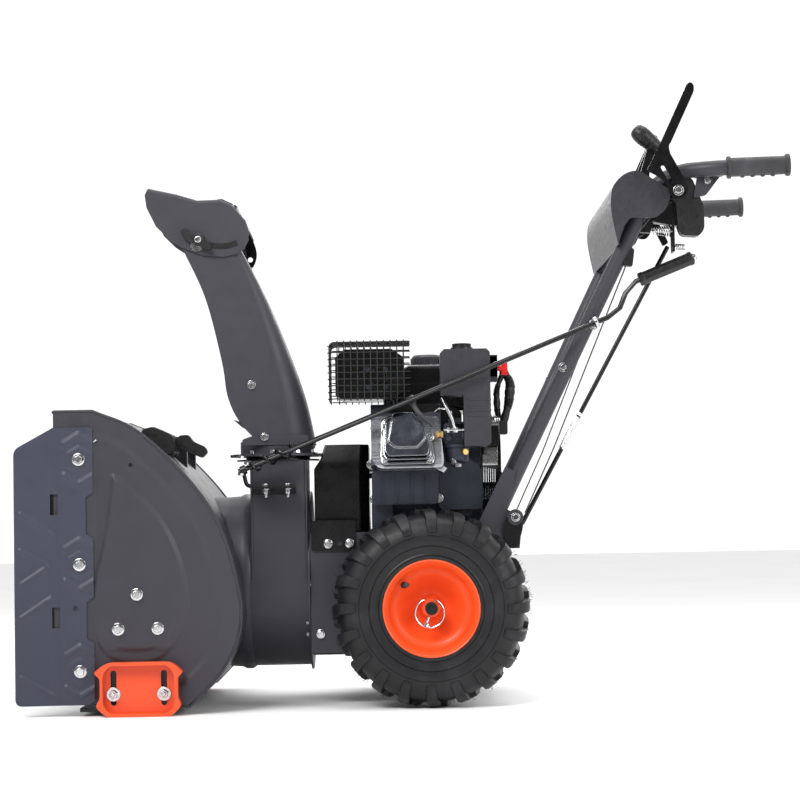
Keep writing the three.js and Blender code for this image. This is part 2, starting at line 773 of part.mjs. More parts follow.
// Wheels: a dished steel rim and a tyre whose carcass is open towards the rim.
const half = TYRE_WIDTH / 2;
const rimHub = 15;
const rimProfile = [
  [SHAFT_RADIUS + GAP, -34],
  [rimHub, -34],
  [rimHub, -6],
  [60, -10],
  [RIM_SEAT - 3, -24],
  [RIM_SEAT - 3, -half + 8],
  [RIM_SEAT + 5, -half + 4],
  [RIM_SEAT, -half + 12],
  [RIM_SEAT, half - 12],
  [RIM_SEAT + 5, half - 4],
  [RIM_SEAT - 3, half - 8],
  [RIM_SEAT - 3, -19],
  [60, -5],
  [rimHub, 0],
  [rimHub, 34],
  [SHAFT_RADIUS + GAP, 34],
].map(([radius, y]) => [radius, WHEEL_Y + y]);
addPair("rim", turned("y", rimProfile, [0, 0], 24), FINISH.orange, wheels);
const tyreProfile = [
  [RIM_SEAT + GAP, -half + 13],
  [RIM_SEAT + 6, -half + 7],
  [RIM_SEAT + 36, -half],
  [TYRE_RADIUS - 14, -half + 2],
  [TYRE_RADIUS, -half + 16],
  [TYRE_RADIUS, half - 16],
  [TYRE_RADIUS - 14, half - 2],
  [RIM_SEAT + 36, half],
  [RIM_SEAT + 6, half - 7],
  [RIM_SEAT + GAP, half - 13],
  [RIM_SEAT + GAP, half - 24],
  [TYRE_RADIUS - 22, half - 14],
  [TYRE_RADIUS - 22, -half + 14],
  [RIM_SEAT + GAP, -half + 24],
].map(([radius, y]) => [radius, WHEEL_Y + y]);
addPair("tyre", turned("y", tyreProfile, [0, 0], 24), FINISH.rubber, wheels);

// Belt cover over the two engine pulleys, open below and behind, stepped in front to clear the chute ring.
const COVER_X = [-190, -100];
const COVER_STEP = [-174, 418];
const COVER_HALF = 110;
const COVER_TOP = 446;
const COVER_SHOULDER = [34, 404];
function coverShape(wall) {
  const side = COVER_HALF - wall;
  const top = COVER_TOP - wall;
  const bottom = wall ? DECK_Z - 1 : DECK_Z + GAP;
  const back = COVER_X[1] + wall;
  const shoulder = COVER_SHOULDER[1] - wall / 2;
  const crown = side - COVER_SHOULDER[0];
  const across = [
    [-side, bottom],
    [side, bottom],
    [side, shoulder],
    [crown, top],
    [-crown, top],
    [-side, shoulder],
  ];
  const along = [
    [COVER_X[0] + wall, bottom - 1],
    [back, bottom - 1],
    [back, top + 1],
    [COVER_STEP[0] + wall, top + 1],
    [COVER_STEP[0] + wall, COVER_STEP[1] + 6 - wall],
    [COVER_X[0] + wall, COVER_STEP[1] - wall],
  ];
  return keep(plate("x", across, [-300, 0]), plate("y", along, [-200, 200]));
}
add("belt_cover", cut(coverShape(0), coverShape(3)), FINISH.body);

// Engine: crankshaft along X, cylinder leaning out to the left.
const engine = groupAt(0, 0, CRANKSHAFT_Z);
const deckBelow = DECK_Z + GAP - CRANKSHAFT_Z;
const BARREL_X = [-94, 18];
const FACE_AT = 174;
const leaned = (shape) => shape.rotateX(-CYLINDER_TILT);
const barrel = leaned(box(BARREL_X, [-FACE_AT, 0], [-52, 52]));
const flange = leaned(box([BARREL_X[0] - 3, BARREL_X[1] + 5], [-FACE_AT, -FACE_AT + 14], [-56, 56]));
add(
  "engine_block",
  cut(
    join(
      barrel,
      flange,
      bar("x", 86, [-64, 92], [0, 0], 28),
      box([-76, 94], [-84, 96], [deckBelow, -60]),
      box([-64, 92], [-86, 86], [-70, 10]),
    ),
    bar("x", 14, [-100, -40], [0, 0]),
  ),
  FINISH.cast,
  engine,
);
add(
  "engine_pulley",
  join(bar("x", 12.5, [PULLEY_X[0] - 16, -45], [0, 0]), pulley(40, PULLEY_X[0]), pulley(37, PULLEY_X[1])),
  FINISH.steel,
  engine,
);
const coverEdge = [[-84, -40], [8, -40], [12, 0], [2, 42], [-78, 42], [-88, 0]];
add(
  "valve_cover",
  leaned(plate("y", coverEdge, [-FACE_AT - 28, -FACE_AT - GAP])),
  FINISH.bright,
  engine,
);
const MUFFLER_Y = [-172, -62];
const mufflerEdge = [
  [-156, 526],
  [-140, 520],
  [-60, 520],
  [-40, 532],
  [-40, 592],
  [-60, 606],
  [-140, 606],
  [-156, 592],
];
add(
  "muffler",
  join(
    plate("y", mufflerEdge, MUFFLER_Y),
    bar("z", 13, [508, 524], [-62, -104]),
  ),
  FINISH.black,
);
const GUARD_X = [-168, -26];
const GUARD_Y = [-186, -50];
const GUARD_Z = [516, 620];
const GUARD_WALL = 3;
const windows = (low, high, count) => {
  const pitch = (high - low) / count;
  return Array.from({ length: count }, (_, i) => [low + i * pitch + 4, low + (i + 1) * pitch - 4]);
};
const guardWindows = windows(...GUARD_X, 4).flatMap((x) => [
  ...windows(...GUARD_Z, 3).map((z) => box(x, [GUARD_Y[0] - 1, GUARD_Y[0] + 5], z)),
  ...windows(...GUARD_Y, 3).map((y) => box(x, y, [GUARD_Z[1] - 5, GUARD_Z[1] + 1])),
]);
add(
  "muffler_guard",
  cut(
    box(GUARD_X, GUARD_Y, GUARD_Z),
    box(
      grown(GUARD_X, -GUARD_WALL),
      [GUARD_Y[0] + GUARD_WALL, GUARD_Y[1] + 1],
      [GUARD_Z[0] - 1, GUARD_Z[1] - GUARD_WALL],
    ),
    ...guardWindows,
  ),
  FINISH.black,
);

const TANK_TOP = 586;
const tankEdge = [
  [-46, 504],
  [100, 504],
  [112, 520],
  [112, 566],
  [98, 582],
  [70, TANK_TOP],
  [-30, TANK_TOP],
  [-52, 574],
  [-56, 520],
];
add("fuel_tank", plate("y", tankEdge, [-44, 130]), FINISH.black);
add(
  "fuel_cap",
  join(
    bar("z", 29, [TANK_TOP + GAP, TANK_TOP + 18], [4, 44], 24),
    bar("z", 24, [TANK_TOP + 16, TANK_TOP + 23], [4, 44], 24),
  ),
  FINISH.plastic,
);

const BOX_Y = [-184, -120];
const boxEdge = [
  [23, 524],
  [23, 596],
  [30, 603],
  [102, 603],
  [108, 597],
  [108, 443],
  [102, 437],
  [62, 437],
  [62, 524],
];
add(
  "heater_box",
  join(plate("y", boxEdge, BOX_Y), box([107, 122], [-150, -112], [556, 594])),
  FINISH.plastic,
);
add(
  "choke_knob",
  join(bar("z", 18, [603 + GAP, 610], [61, -150], 20), box([44, 78], [-153, -147], [609, 613])),
  FINISH.black,
);
add(
  "ignition_key",
  join(bar("x", 5, [122 + GAP, 130], [-131, 572], 12), box([129, 140], [-134, -128], [560, 584])),
  FINISH.red,
);
add(
  "carburettor",
  join(
    bar("x", 15, [24, 40], [-140, 462]),
    box([32, 61.5], [-162, -118], [436, 482]),
    bar("z", 20, [400, 437], [47, -140]),
    box([23.5, 28], [-164, -116], [438, 486]),
  ),
  FINISH.bright,
);
add(
  "oil_filler_cap",
  join(bar("y", 15, [-102, -86.4], [62, 332], 16), box([50, 74], [-108, -101], [329, 335])),
  FINISH.plastic,
);

const RECOIL_X = [94.5, 128];
add(
  "recoil_starter",
  cut(
    join(
      bar("x", 88, RECOIL_X, [0, 410], 36),
      box([100, 123.5], [-119, -60], [440, 474]),
    ),
    bar("x", 3.5, [110, 130], [-112, 462], 10),
  ),
  FINISH.black,
);
const PULL_Y = -112;
const pullBack = [[131, 474], [122, 494], [121, 536], [134, 568]];
const pullFront = [[134, 568], [146, 548], [142, 512], [131, 474]];
const pullRail = (points) => sweep(bentPath(points.map(([x, z]) => [x, PULL_Y, z]), 10), 6, 8, 8);
add(
  "pull_handle",
  join(
    pullRail(pullBack),
    pullRail(pullFront),
    bar("x", 2.5, [112, 132], [PULL_Y, 462], 8),
    box([125, 139], [-119, -105], [458, 480]),
    box([127, 141], [-119, -105], [560, 575]),
  ),
  FINISH.black,
);

// Handles: a straight tube up each side, bent back and out to the grip.
const handleFoot = [86, CHASSIS_HALF - SHEET - GAP - TUBE_RADIUS, 257];
const handleRoute = [
  handleFoot,
  [157.4, handleFoot[1], 402],
  [388, 217, 870],
  [430, 233, 893],
  [484, GRIP_Y - 1, 892.5],
  [606, GRIP_Y, 896],
];
const leverBox = [
  [429, 858],
  [416, 862],
  [412, 848],
  [424, 840],
  [426, 800],
  [432, 784],
  [462, 782],
  [471, 794],
  [471, 832],
  [452, 880],
  [440, 884],
];
const leverLug = [[411, 847], [434, 845], [437, 858], [430, 886], [404, 876]];
const handle = join(
  sweep(bentPath(handleRoute, 20), TUBE_RADIUS, 26, 10),
  plate("y", leverLug, [226, 240]),
  bar("y", 6, [230, LEVER_PLATE[1] + 2], LEVER_PIVOT, 12),
);
add("right_handle", handle, FINISH.body);
const eyeCentre = onCrank(EYE_AT);
const eyeBolt = cut(
  join(
    sweep(new THREE.LineCurve3(onCrank(EYE_AT - 4), onCrank(EYE_AT + 4)), 11, 1, 16),
    bar("y", 4, [eyeCentre.y + 8, -180], [eyeCentre.x, eyeCentre.z], 10),
    bar("y", 9, [-196, -180], [eyeCentre.x - 3, eyeCentre.z], 6),
  ),
  sweep(new THREE.LineCurve3(onCrank(EYE_AT - 9), onCrank(EYE_AT + 9)), 5.4, 1, 16),
);
add("left_handle", join(mirrored(handle), plate("y", leverBox, [-240, -212]), eyeBolt), FINISH.body);
const gripLineAt = (x) => new THREE.Vector3(...handleRoute.at(-2)).lerp(
  new THREE.Vector3(...handleRoute.at(-1)),
  (x - 484) / (606 - 484),
);
const gripPart = (radius, from, to) =>
  sweep(new THREE.LineCurve3(gripLineAt(from), gripLineAt(to)), radius, 1, 14);
addPair(
  "grip",
  cut(
    join(
      gripPart(GRIP_RADIUS, 509, 610),
      gripPart(GRIP_RADIUS + 3, 508, 514),
      gripPart(GRIP_RADIUS + 3, 605, 611),
    ),
    gripPart(TUBE_RADIUS + 1, 500, 606.5),
  ),
  FINISH.plastic,
);

// Clutch levers: a paddle over each grip on a slotted plate, pressed down to the grip.
const leverPlate = [
  [412, 846],
  [424, 841],
  [434, 849],
  [434, 862],
  [420, 905],
  [410, 932],
  [396, 928],
  [390, 905],
  [404, 880],
];
const leverSlot = [[408, 900], [414, 903], [424, 876], [418, 873]];
const paddle = [[396, 930], [409, 924], [453, 1020], [453, 1031], [447, 1036], [441, 1032]];
const clutchLever = join(
  cut(
    plate("y", leverPlate, LEVER_PLATE),
    plate("y", leverSlot, grown(LEVER_PLATE, 1)),
    bar("y", 6 + 2 * GAP, grown(LEVER_PLATE, 1), LEVER_PIVOT, 14),
  ),
  plate("y", paddle, [250, LEVER_PLATE[1]]),
);
addPair("clutch_lever", clutchLever, FINISH.black);

// Dash panel: a hood between the handles, open behind and below.
const dashEdge = [
  [324, 770],
  [321, 793],
  [315, 822],
  [314, 846],
  [318, 869],
  [337, 888],
  [360, 894],
  [377, 884],
  [414, 861],
  [414, 845],
  [405, 826],
  [389, 814],
  [347, 815],
  [331, 795],
  [330, 770],
];
const dashHollow = [
  [327.5, 764],
  [324.3, 794],
  [318.3, 823],
  [317.3, 846],
  [321, 867.5],
  [338.5, 884.6],
  [359.5, 890.6],
  [375.5, 881.2],
  [440, 840],
  [420, 790],
  [340, 760],
];
const DASH_HALF = 236;
const leverSlotX = [364, 420];
add(
  "dash_panel",
  cut(
    plate("y", dashEdge, [-DASH_HALF, DASH_HALF]),
    plate("y", dashHollow, [-DASH_HALF + 3, DASH_HALF - 3]),
    box(leverSlotX, [-70, -50], [840, 920]),
    ...bracketPair(sweep(bentPath(handleRoute, 20), TUBE_RADIUS + 2, 26, 10)),
    ...bracketPair(plate("y", [[405, 835], [480, 835], [480, 900], [405, 900]], [205, 245])),
  ),
  FINISH.plastic,
);

// Shift lever: a knobbed stem through the dash, whose lower end moves the rod to the chassis.
const SHIFT_PIVOT = [400, 842];
const ROD_TOP = [428, 784];
const ROD_FOOT = [163, 303];
const stem = [[382, 961], [394, 969], [410, 914], [409, 846], [402, 833], [392, 838], [394, 907]];
const knob = bar("y", 14, [-24, 24], [0, 0], 16)
  .rotateX(Math.PI / 2)
  .rotateY(-Math.PI / 4)
  .translate(396, -60, 976);
add(
  "shift_lever",
  join(
    plate("y", stem, [-63, -57]),
    plate("y", [[394, 842], [408, 842], [431, 792], [421, 786]], [-63, -57]),
    bar("y", 5, [-70, -50], SHIFT_PIVOT, 12),
    knob,
  ),
  FINISH.black,
);
const rodDirection = new THREE.Vector2(ROD_TOP[0] - ROD_FOOT[0], ROD_TOP[1] - ROD_FOOT[1]).normalize();
const onRod = (along, y = -74) =>
  new THREE.Vector3(ROD_FOOT[0] + rodDirection.x * along, y, ROD_FOOT[1] + rodDirection.y * along);
const rodLength = Math.hypot(ROD_TOP[0] - ROD_FOOT[0], ROD_TOP[1] - ROD_FOOT[1]);
const rodLine = (from, to) => new THREE.LineCurve3(onRod(from), onRod(to));
add(
  "shift_rod",
  join(sweep(rodLine(0, rodLength), 4, 1, 10), sweep(rodLine(150, 212), 7, 1, 6)),
  FINISH.steel,
);

// Clutch cables, held from the levers to the pulleys at the chassis.
const cableRoute = [
  [424, 248, 838],
  [372, 222, 776],
  [343, 192, 741],
  [216, 160, 434],
  [163.5, 163, 322],
];
addPair("clutch_cable", sweep(bentPath(cableRoute, 12), 1.5, 16, 8), FINISH.steel);

// Clean-out tool: a paddle on a stick that lies in the housing's open clips.
add(
  "clean_out_tool",
  join(
    bar("y", TOOL_RADIUS, [-120, 150], TOOL_AT, 12),
    box([-60, 60], [-200, -112], [-4, 4]).rotateY(Math.atan2(56, 115)).translate(TOOL_AT[0], 0, TOOL_AT[1]),
  ),
  FINISH.black,
);

export default machine;
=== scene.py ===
"""A two-stage snow blower: the visual model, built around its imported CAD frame.

Shapes are written in millimetres: X from the wheel axle towards the operator, Y from the middle
plane (the left side is negative), Z from the ground. place() turns them into the frame's metres.
"""

import json
import math
import random

import bmesh
import bpy
import numpy as np
from mathutils import Matrix, Vector
from mathutils.geometry import tessellate_polygon

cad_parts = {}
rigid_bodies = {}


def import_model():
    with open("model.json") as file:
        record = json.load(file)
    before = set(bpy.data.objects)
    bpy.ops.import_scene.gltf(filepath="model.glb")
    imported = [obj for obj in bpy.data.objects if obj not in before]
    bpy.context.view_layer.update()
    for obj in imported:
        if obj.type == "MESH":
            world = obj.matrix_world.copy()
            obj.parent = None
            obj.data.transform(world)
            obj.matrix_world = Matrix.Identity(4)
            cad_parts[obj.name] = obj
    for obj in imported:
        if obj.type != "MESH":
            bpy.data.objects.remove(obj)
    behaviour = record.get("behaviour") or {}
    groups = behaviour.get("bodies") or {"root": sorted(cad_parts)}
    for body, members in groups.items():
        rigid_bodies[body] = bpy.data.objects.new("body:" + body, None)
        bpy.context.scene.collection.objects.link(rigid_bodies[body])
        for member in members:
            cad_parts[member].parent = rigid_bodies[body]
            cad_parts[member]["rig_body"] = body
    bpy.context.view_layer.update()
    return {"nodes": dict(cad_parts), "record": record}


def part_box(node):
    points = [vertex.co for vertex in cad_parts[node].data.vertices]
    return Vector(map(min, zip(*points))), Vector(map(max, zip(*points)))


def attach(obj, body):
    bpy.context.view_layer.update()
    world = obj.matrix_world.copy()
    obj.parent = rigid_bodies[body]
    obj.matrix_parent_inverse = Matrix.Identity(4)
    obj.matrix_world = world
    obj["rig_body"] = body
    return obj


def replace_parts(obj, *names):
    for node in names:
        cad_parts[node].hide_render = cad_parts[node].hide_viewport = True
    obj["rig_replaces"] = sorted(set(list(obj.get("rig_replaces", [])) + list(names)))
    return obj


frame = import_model()

MM = 0.001
AXLE_X = sum(corner.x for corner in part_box("axle")) / 2
SLOT_OF = {part["node"]: part["material_slot"] for part in frame["record"]["subparts"]}
BODY_OF = {name: node["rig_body"] for name, node in frame["nodes"].items()}


# ---- frame helpers


def place(point):
    """A point in millimetres from the axle, in the frame's metres."""
    return Vector((point[0] * MM + AXLE_X, point[1] * MM, point[2] * MM))


def node_box(node):
    """A CAD node's corners in millimetres from the axle."""
    low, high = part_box(node)
    shift = Vector((AXLE_X, 0, 0))
    return (low - shift) / MM, (high - shift) / MM


# ---- materials


def srgb(red, green, blue):
    """A colour given as 0 to 255 display values, as linear light."""
    return tuple(
        ((c / 255 + 0.055) / 1.055) ** 2.4 if c > 10 else c / 255 / 12.92 for c in (red, green, blue)
    )


class Finish:
    """Builds one procedural material on a Principled shader."""

    def __init__(self, name, roughness, metallic=0.0, coat=0.0, specular=0.5):
        self.material = bpy.data.materials.new(name)
        self.material.use_nodes = True
        self.tree = self.material.node_tree
        self.shader = self.tree.nodes["Principled BSDF"]
        self.shader.inputs["Metallic"].default_value = metallic
        self.shader.inputs["Roughness"].default_value = roughness
        self.shader.inputs["Coat Weight"].default_value = coat
        self.shader.inputs["Coat Roughness"].default_value = 0.15
        self.shader.inputs["Specular IOR Level"].default_value = specular
        self.place = self.tree.nodes.new("ShaderNodeTexCoord").outputs["Object"]

    def node(self, kind, links=(), **constants):
        """A shader node with its constants set and its (socket, source) links made."""
        made = self.tree.nodes.new("ShaderNode" + kind)
        for socket, value in constants.items():
            made.inputs[socket].default_value = value
        for socket, source in links:
            self.tree.links.new(source, made.inputs[socket])
        return made

    def noise(self, scale, detail=3.0):
        """A grey noise in the piece's own space."""
        return self.node("TexNoise", [("Vector", self.place)], Scale=scale, Detail=detail).outputs["Fac"]

    def cells(self, scale):
        """A grey that rises from the middle of each cell of a random mosaic."""
        return self.node("TexVoronoi", [("Vector", self.place)], Scale=scale).outputs["Distance"]

    def ramp(self, source, stops):
        """source mapped through (position, colour or grey) stops."""
        node = self.node("ValToRGB", [("Fac", source)])
        ramp = node.color_ramp
        while len(ramp.elements) < len(stops):
            ramp.elements.new(0.5)
        for element, (position, value) in zip(ramp.elements, stops):
            element.position = position
            element.color = (*value, 1) if isinstance(value, tuple) else (value, value, value, 1)
        return node.outputs["Color"]

    def mix(self, factor, a, b):
        """Colour a where factor is 0, colour b where it is 1."""
        node = self.node("Mix")
        node.data_type = "RGBA"
        self.tree.links.new(factor, node.inputs["Factor"])
        for socket, value in ((node.inputs[6], a), (node.inputs[7], b)):
            if isinstance(value, tuple):
                socket.default_value = (*value, 1)
            else:
                self.tree.links.new(value, socket)
        return node.outputs[2]

    def edges(self, radius):
        """1 along convex and concave edges, 0 on flat faces."""
        bevel = self.node("Bevel", Radius=radius)
        bevel.samples = 4
        normal = self.node("NewGeometry").outputs["Normal"]
        dot = self.node("VectorMath", [(0, bevel.outputs["Normal"]), (1, normal)])
        dot.operation = "DOT_PRODUCT"
        return self.ramp(dot.outputs["Value"], [(0.65, 1.0), (0.995, 0.0)])

    def wire(self, source, socket):
        """Links a source to a socket of the Principled shader."""
        self.tree.links.new(source, self.shader.inputs[socket])

    def uneven_colour(self, pattern, colour, low, high, dark, pale):
        """The colour times dark where the pattern is low, and times pale where it is high."""
        return self.ramp(pattern, [(low, tint(colour, dark)), (high, tint(colour, pale))])

    def uneven_gloss(self, scale, detail, roughness, less, more):
        """A roughness that wanders between roughness - less and roughness + more."""
        pattern = self.noise(scale, detail)
        self.wire(self.ramp(pattern, [(0.3, roughness - less), (0.7, roughness + more)]), "Roughness")

    def bump(self, source, depth):
        """Relief of depth metres from a grey source."""
        node = self.node("Bump", [("Height", source)], Distance=depth, Strength=1.0)
        self.wire(node.outputs["Normal"], "Normal")


def tint(colour, factor):
    return tuple(min(1.0, c * factor) for c in colour)


def painted(name, colour, roughness, coat=0.0, edge_highlight=None):
    """Powder coat: a fine orange peel, slightly uneven colour and gloss, and edges a little paler as a
    painted highlight.
    """
    f = Finish(name, roughness, coat=coat, specular=0.3)
    base = f.uneven_colour(f.noise(5.0, 4.0), colour, 0.35, 0.65, 0.93, 1.07)
    # Every edge is mixed halfway towards a paler colour: a painted highlight.
    highlighted = tuple(0.5 * a + 0.5 * b for a, b in zip(colour, edge_highlight or tint(colour, 1.7)))
    f.wire(f.mix(f.edges(0.0016), base, highlighted), "Base Color")
    f.uneven_gloss(40.0, 5.0, roughness, 0.05, 0.08)
    f.bump(f.noise(650.0, 2.0), 0.00006)
    return f.material


def moulded(name, colour, roughness, grain=900.0):
    """Moulded plastic with a fine leathery grain."""
    f = Finish(name, roughness, specular=0.45)
    f.wire(f.uneven_colour(f.noise(14.0, 4.0), colour, 0.3, 0.7, 0.88, 1.14), "Base Color")
    f.uneven_gloss(120.0, 4.0, roughness, 0.06, 0.08)
    f.bump(f.cells(grain), 0.00008)
    return f.material


def rubbery(name, colour, roughness, dust):
    """Rubber: matt, with a little pale dust and fine pores."""
    f = Finish(name, roughness, specular=0.3)
    base = f.uneven_colour(f.noise(60.0, 5.0), colour, 0.3, 0.7, 0.85, 1.2)
    f.wire(f.mix(f.ramp(f.noise(22.0, 6.0), [(0.52, 0.0), (0.78, 0.35)]), base, dust), "Base Color")
    f.uneven_gloss(200.0, 3.0, roughness, 0.08, 0.07)
    f.bump(f.noise(1400.0, 2.0), 0.0001)
    return f.material


def metallic(name, colour, roughness, cells=0.0, depth=0.00003):
    """Bare or plated metal: uneven gloss, and a colour that varies by cloud or by crystal."""
    f = Finish(name, roughness, metallic=1.0)
    pattern = f.cells(cells) if cells else f.noise(90.0, 5.0)
    f.wire(f.uneven_colour(pattern, colour, 0.25, 0.75, 0.88, 1.12), "Base Color")
    f.uneven_gloss(160.0, 5.0, roughness, 0.07, 0.12)
    f.bump(f.noise(700.0, 3.0), depth)
    return f.material


def polished(name, colour, roughness):
    """Chromed sheet: slow waves in the reflection, and bright edges painted on as a highlight."""
    f = Finish(name, roughness, metallic=1.0)
    base = f.uneven_colour(f.noise(9.0, 2.0), colour, 0.3, 0.7, 0.8, 1.15)
    # Edges are mixed towards near-white: a painted highlight.
    f.wire(f.mix(f.edges(0.0045), base, (0.95, 0.95, 0.95)), "Base Color")
    f.uneven_gloss(30.0, 3.0, roughness, 0.04, 0.05)
    f.bump(f.noise(26.0, 2.0), 0.0012)
    return f.material


def cast(name, colour, roughness, metal):
    """Sand-cast metal under a thin coat: a coarse grain, and a colour darker and paler in random patches."""
    f = Finish(name, roughness, metallic=metal)
    f.wire(f.uneven_colour(f.noise(30.0, 6.0), colour, 0.3, 0.7, 0.78, 1.2), "Base Color")
    f.uneven_gloss(260.0, 4.0, roughness, 0.08, 0.1)
    f.bump(f.noise(420.0, 4.0), 0.00022)
    return f.material


STEEL_GREY = (0.55, 0.55, 0.56)
FINISHES = {
    "body_paint": painted("body_paint", srgb(53, 52, 58), 0.42),
    "wing_paint": painted("wing_paint", srgb(55, 57, 70), 0.42),
    "orange_paint": painted("orange_paint", srgb(222, 76, 32), 0.34, coat=0.25, edge_highlight=srgb(255, 150, 90)),
    "impeller_paint": painted("impeller_paint", srgb(44, 44, 50), 0.45),
    "black_paint": painted("black_paint", srgb(8, 8, 9), 0.26, coat=0.1, edge_highlight=srgb(44, 44, 48)),
    "black_plastic": moulded("black_plastic", srgb(14, 14, 16), 0.38),
    "grey_plastic": moulded("grey_plastic", srgb(42, 41, 46), 0.42, grain=700.0),
    "grip_rubber": rubbery("grip_rubber", srgb(48, 47, 50), 0.5, srgb(92, 90, 94)),
    "tyre_rubber": rubbery("tyre_rubber", srgb(22, 22, 24), 0.44, srgb(60, 60, 64)),
    "zinc_steel": metallic("zinc_steel", STEEL_GREY, 0.17, cells=260.0),
    "cast_metal": cast("cast_metal", srgb(46, 50, 60), 0.38, 0.5),
    "bare_aluminium": metallic("bare_aluminium", (0.30, 0.31, 0.33), 0.36, depth=0.00012),
    "chrome_cover": polished("chrome_cover", (0.12, 0.13, 0.16), 0.15),
    "red_plastic": moulded("red_plastic", srgb(205, 26, 24), 0.32, grain=500.0),
}
BRASS = metallic("brass", (0.62, 0.42, 0.16), 0.34)
# A near-black matt finish used as painted shade: in the seam gaps, over the hood's slot and on the axle end.
PAINTED_SHADE = moulded("painted_shade", srgb(12, 12, 13), 0.8)
SPRING_STEEL = metallic("spring_steel", (0.10, 0.10, 0.11), 0.4)
GREY_COIL = metallic("grey_coil", (0.5, 0.5, 0.51), 0.3, depth=0.00006)


# ---- mesh building


class Form:
    """Points and faces gathered for one mesh, in millimetres."""

    def __init__(self):
        self.points = []
        self.faces = []

    def add(self, points, faces):
        base = len(self.points)
        self.points.extend(Vector(p) for p in points)
        self.faces.extend([base + i for i in face] for face in faces)
        return self

    def merge(self, other):
        return self.add(other.points, other.faces)

    def moved(self, matrix):
        return Form().add([matrix @ p for p in self.points], self.faces)

    def skin(self, rows, wrap=True, caps=True):
        """A surface through rows of points; wrap closes each row, caps close the first and last."""
        count = len(rows[0])
        faces = []
        for r in range(len(rows) - 1):
            for c in range(count if wrap else count - 1):
                d = (c + 1) % count
                faces.append([r * count + c, r * count + d, (r + 1) * count + d, (r + 1) * count + c])
        if caps and wrap:
            faces.append(list(range(count))[::-1])
            faces.append([(len(rows) - 1) * count + c for c in range(count)])
        return self.add([p for row in rows for p in row], faces)

    def lathe(self, centre, axis, profile, count=48, phase=0.0):
        """A turned shape: profile is (distance along the axis, radius) pairs."""
        side, up, along = basis(axis)
        rows = []
        for distance, radius in profile:
            middle = Vector(centre) + along * distance
            turns = [phase + 2 * math.pi * i / count for i in range(count)]
            rows.append(
                [middle + (side * math.cos(t) + up * math.sin(t)) * max(radius, 0.01) for t in turns]
            )
        return self.skin(rows)

    def ring(self, centre, axis, profile, count=64):
        """A turned shape whose profile closes on itself, such as a tyre or a washer."""
        side, up, along = basis(axis)
        rows = []
        for i in range(count):
            t = 2 * math.pi * i / count
            out = side * math.cos(t) + up * math.sin(t)
            rows.append([Vector(centre) + along * a + out * r for a, r in profile])
        rows.append(rows[0])
        return self.skin(rows, caps=False)

    def tube(self, path, radius, count=12):
        """A round bar along a path; radius is a number or a function of the share of the way."""
        path = [Vector(p) for p in path]
        side = basis(path[1] - path[0])[0]
        rows = []
        for i, point in enumerate(path):
            ahead = (path[min(i + 1, len(path) - 1)] - path[max(i - 1, 0)]).normalized()
            side = (side - ahead * side.dot(ahead)).normalized()
            up = ahead.cross(side)
            r = radius(i / (len(path) - 1)) if callable(radius) else radius
            turns = [2 * math.pi * k / count for k in range(count)]
            rows.append([point + side * r * math.cos(t) + up * r * math.sin(t) for t in turns])
        return self.skin(rows)

    def slab(self, outline, low, high, holes=(), level=False):
        """A plate with holes between two values of Y, or of Z when it lies level."""
        loops = [outline, *holes]
        flat = [p for loop in loops for p in loop]
        triangles = tessellate_polygon([[Vector((u, v, 0)) for u, v in loop] for loop in loops])
        count = len(flat)
        faces = [list(t) for t in triangles] + [[i + count for i in t][::-1] for t in triangles]
        start = 0
        for loop in loops:
            size = len(loop)
            for i in range(size):
                j = (i + 1) % size
                faces.append([start + i, start + j, start + j + count, start + i + count])
            start += size
        points = [(u, v, h) if level else (u, h, v) for h in (low, high) for u, v in flat]
        return self.add(points, faces)

    def plate(self, outline, radius, low, high, holes=(), level=False):
        """A slab whose corners are rounded."""
        return self.slab(rounded(outline, radius), low, high, holes, level)

    def block(self, low, high):
        """A box between two corners."""
        return self.slab(rectangle(low[0], low[1], high[0], high[1]), low[2], high[2], level=True)


def basis(axis):
    """Two directions across an axis, and the axis, each of length 1."""
    along = Vector(axis).normalized()
    helper = Vector((0, 0, 1)) if abs(along.z) < 0.9 else Vector((1, 0, 0))
    side = helper.cross(along).normalized()
    return side, along.cross(side), along


def circle(centre, radius, count, start=0.0, turn=0.0):
    """Points round a circle, or along an arc of a given turn with both its ends."""
    angles = [start + (turn * i / (count - 1) if turn else 2 * math.pi * i / count) for i in range(count)]
    return [(centre[0] + radius * math.cos(a), centre[1] + radius * math.sin(a)) for a in angles]


def oblong(a, b, radius):
    """A slot's outline between two centres."""
    heading = math.atan2(b[1] - a[1], b[0] - a[0])
    ends = ((b, heading - math.pi / 2), (a, heading + math.pi / 2))
    return [point for centre, start in ends for point in circle(centre, radius, 8, start, math.pi)]


def rectangle(u0, v0, u1, v1):
    return [(u0, v0), (u1, v0), (u1, v1), (u0, v1)]


def rounded(outline, radius, steps=4):
    """The outline with each corner rounded; radius is one number or one for each corner."""
    result = []
    count = len(outline)
    for i in range(count):
        corner = Vector(outline[i])
        before = Vector(outline[i - 1]) - corner
        after = Vector(outline[(i + 1) % count]) - corner
        r = radius[i] if isinstance(radius, (list, tuple)) else radius
        reach = min(r, before.length * 0.45, after.length * 0.45)
        start = corner + before.normalized() * reach
        end = corner + after.normalized() * reach
        for k in range(steps + 1):
            t = k / steps
            point = start * (1 - t) ** 2 + corner * 2 * t * (1 - t) + end * t**2
            result.append((point.x, point.y))
    return result


def curve(points, steps=6):
    """A smooth path through the points, steps to a stretch."""
    points = [Vector(p) for p in points]
    padded = [points[0] * 2 - points[1], *points, points[-1] * 2 - points[-2]]
    path = []
    for i in range(1, len(padded) - 2):
        a, b, c, d = padded[i - 1 : i + 3]
        for k in range(steps):
            t = k / steps
            path.append(
                0.5 * (
                    (2 * b) + (c - a) * t + (
                        2 * a - 5 * b + 4 * c - d
                    ) * t**2 + (3 * b - a - 3 * c + d) * t**3
                )
            )
    return path + [points[-1]]


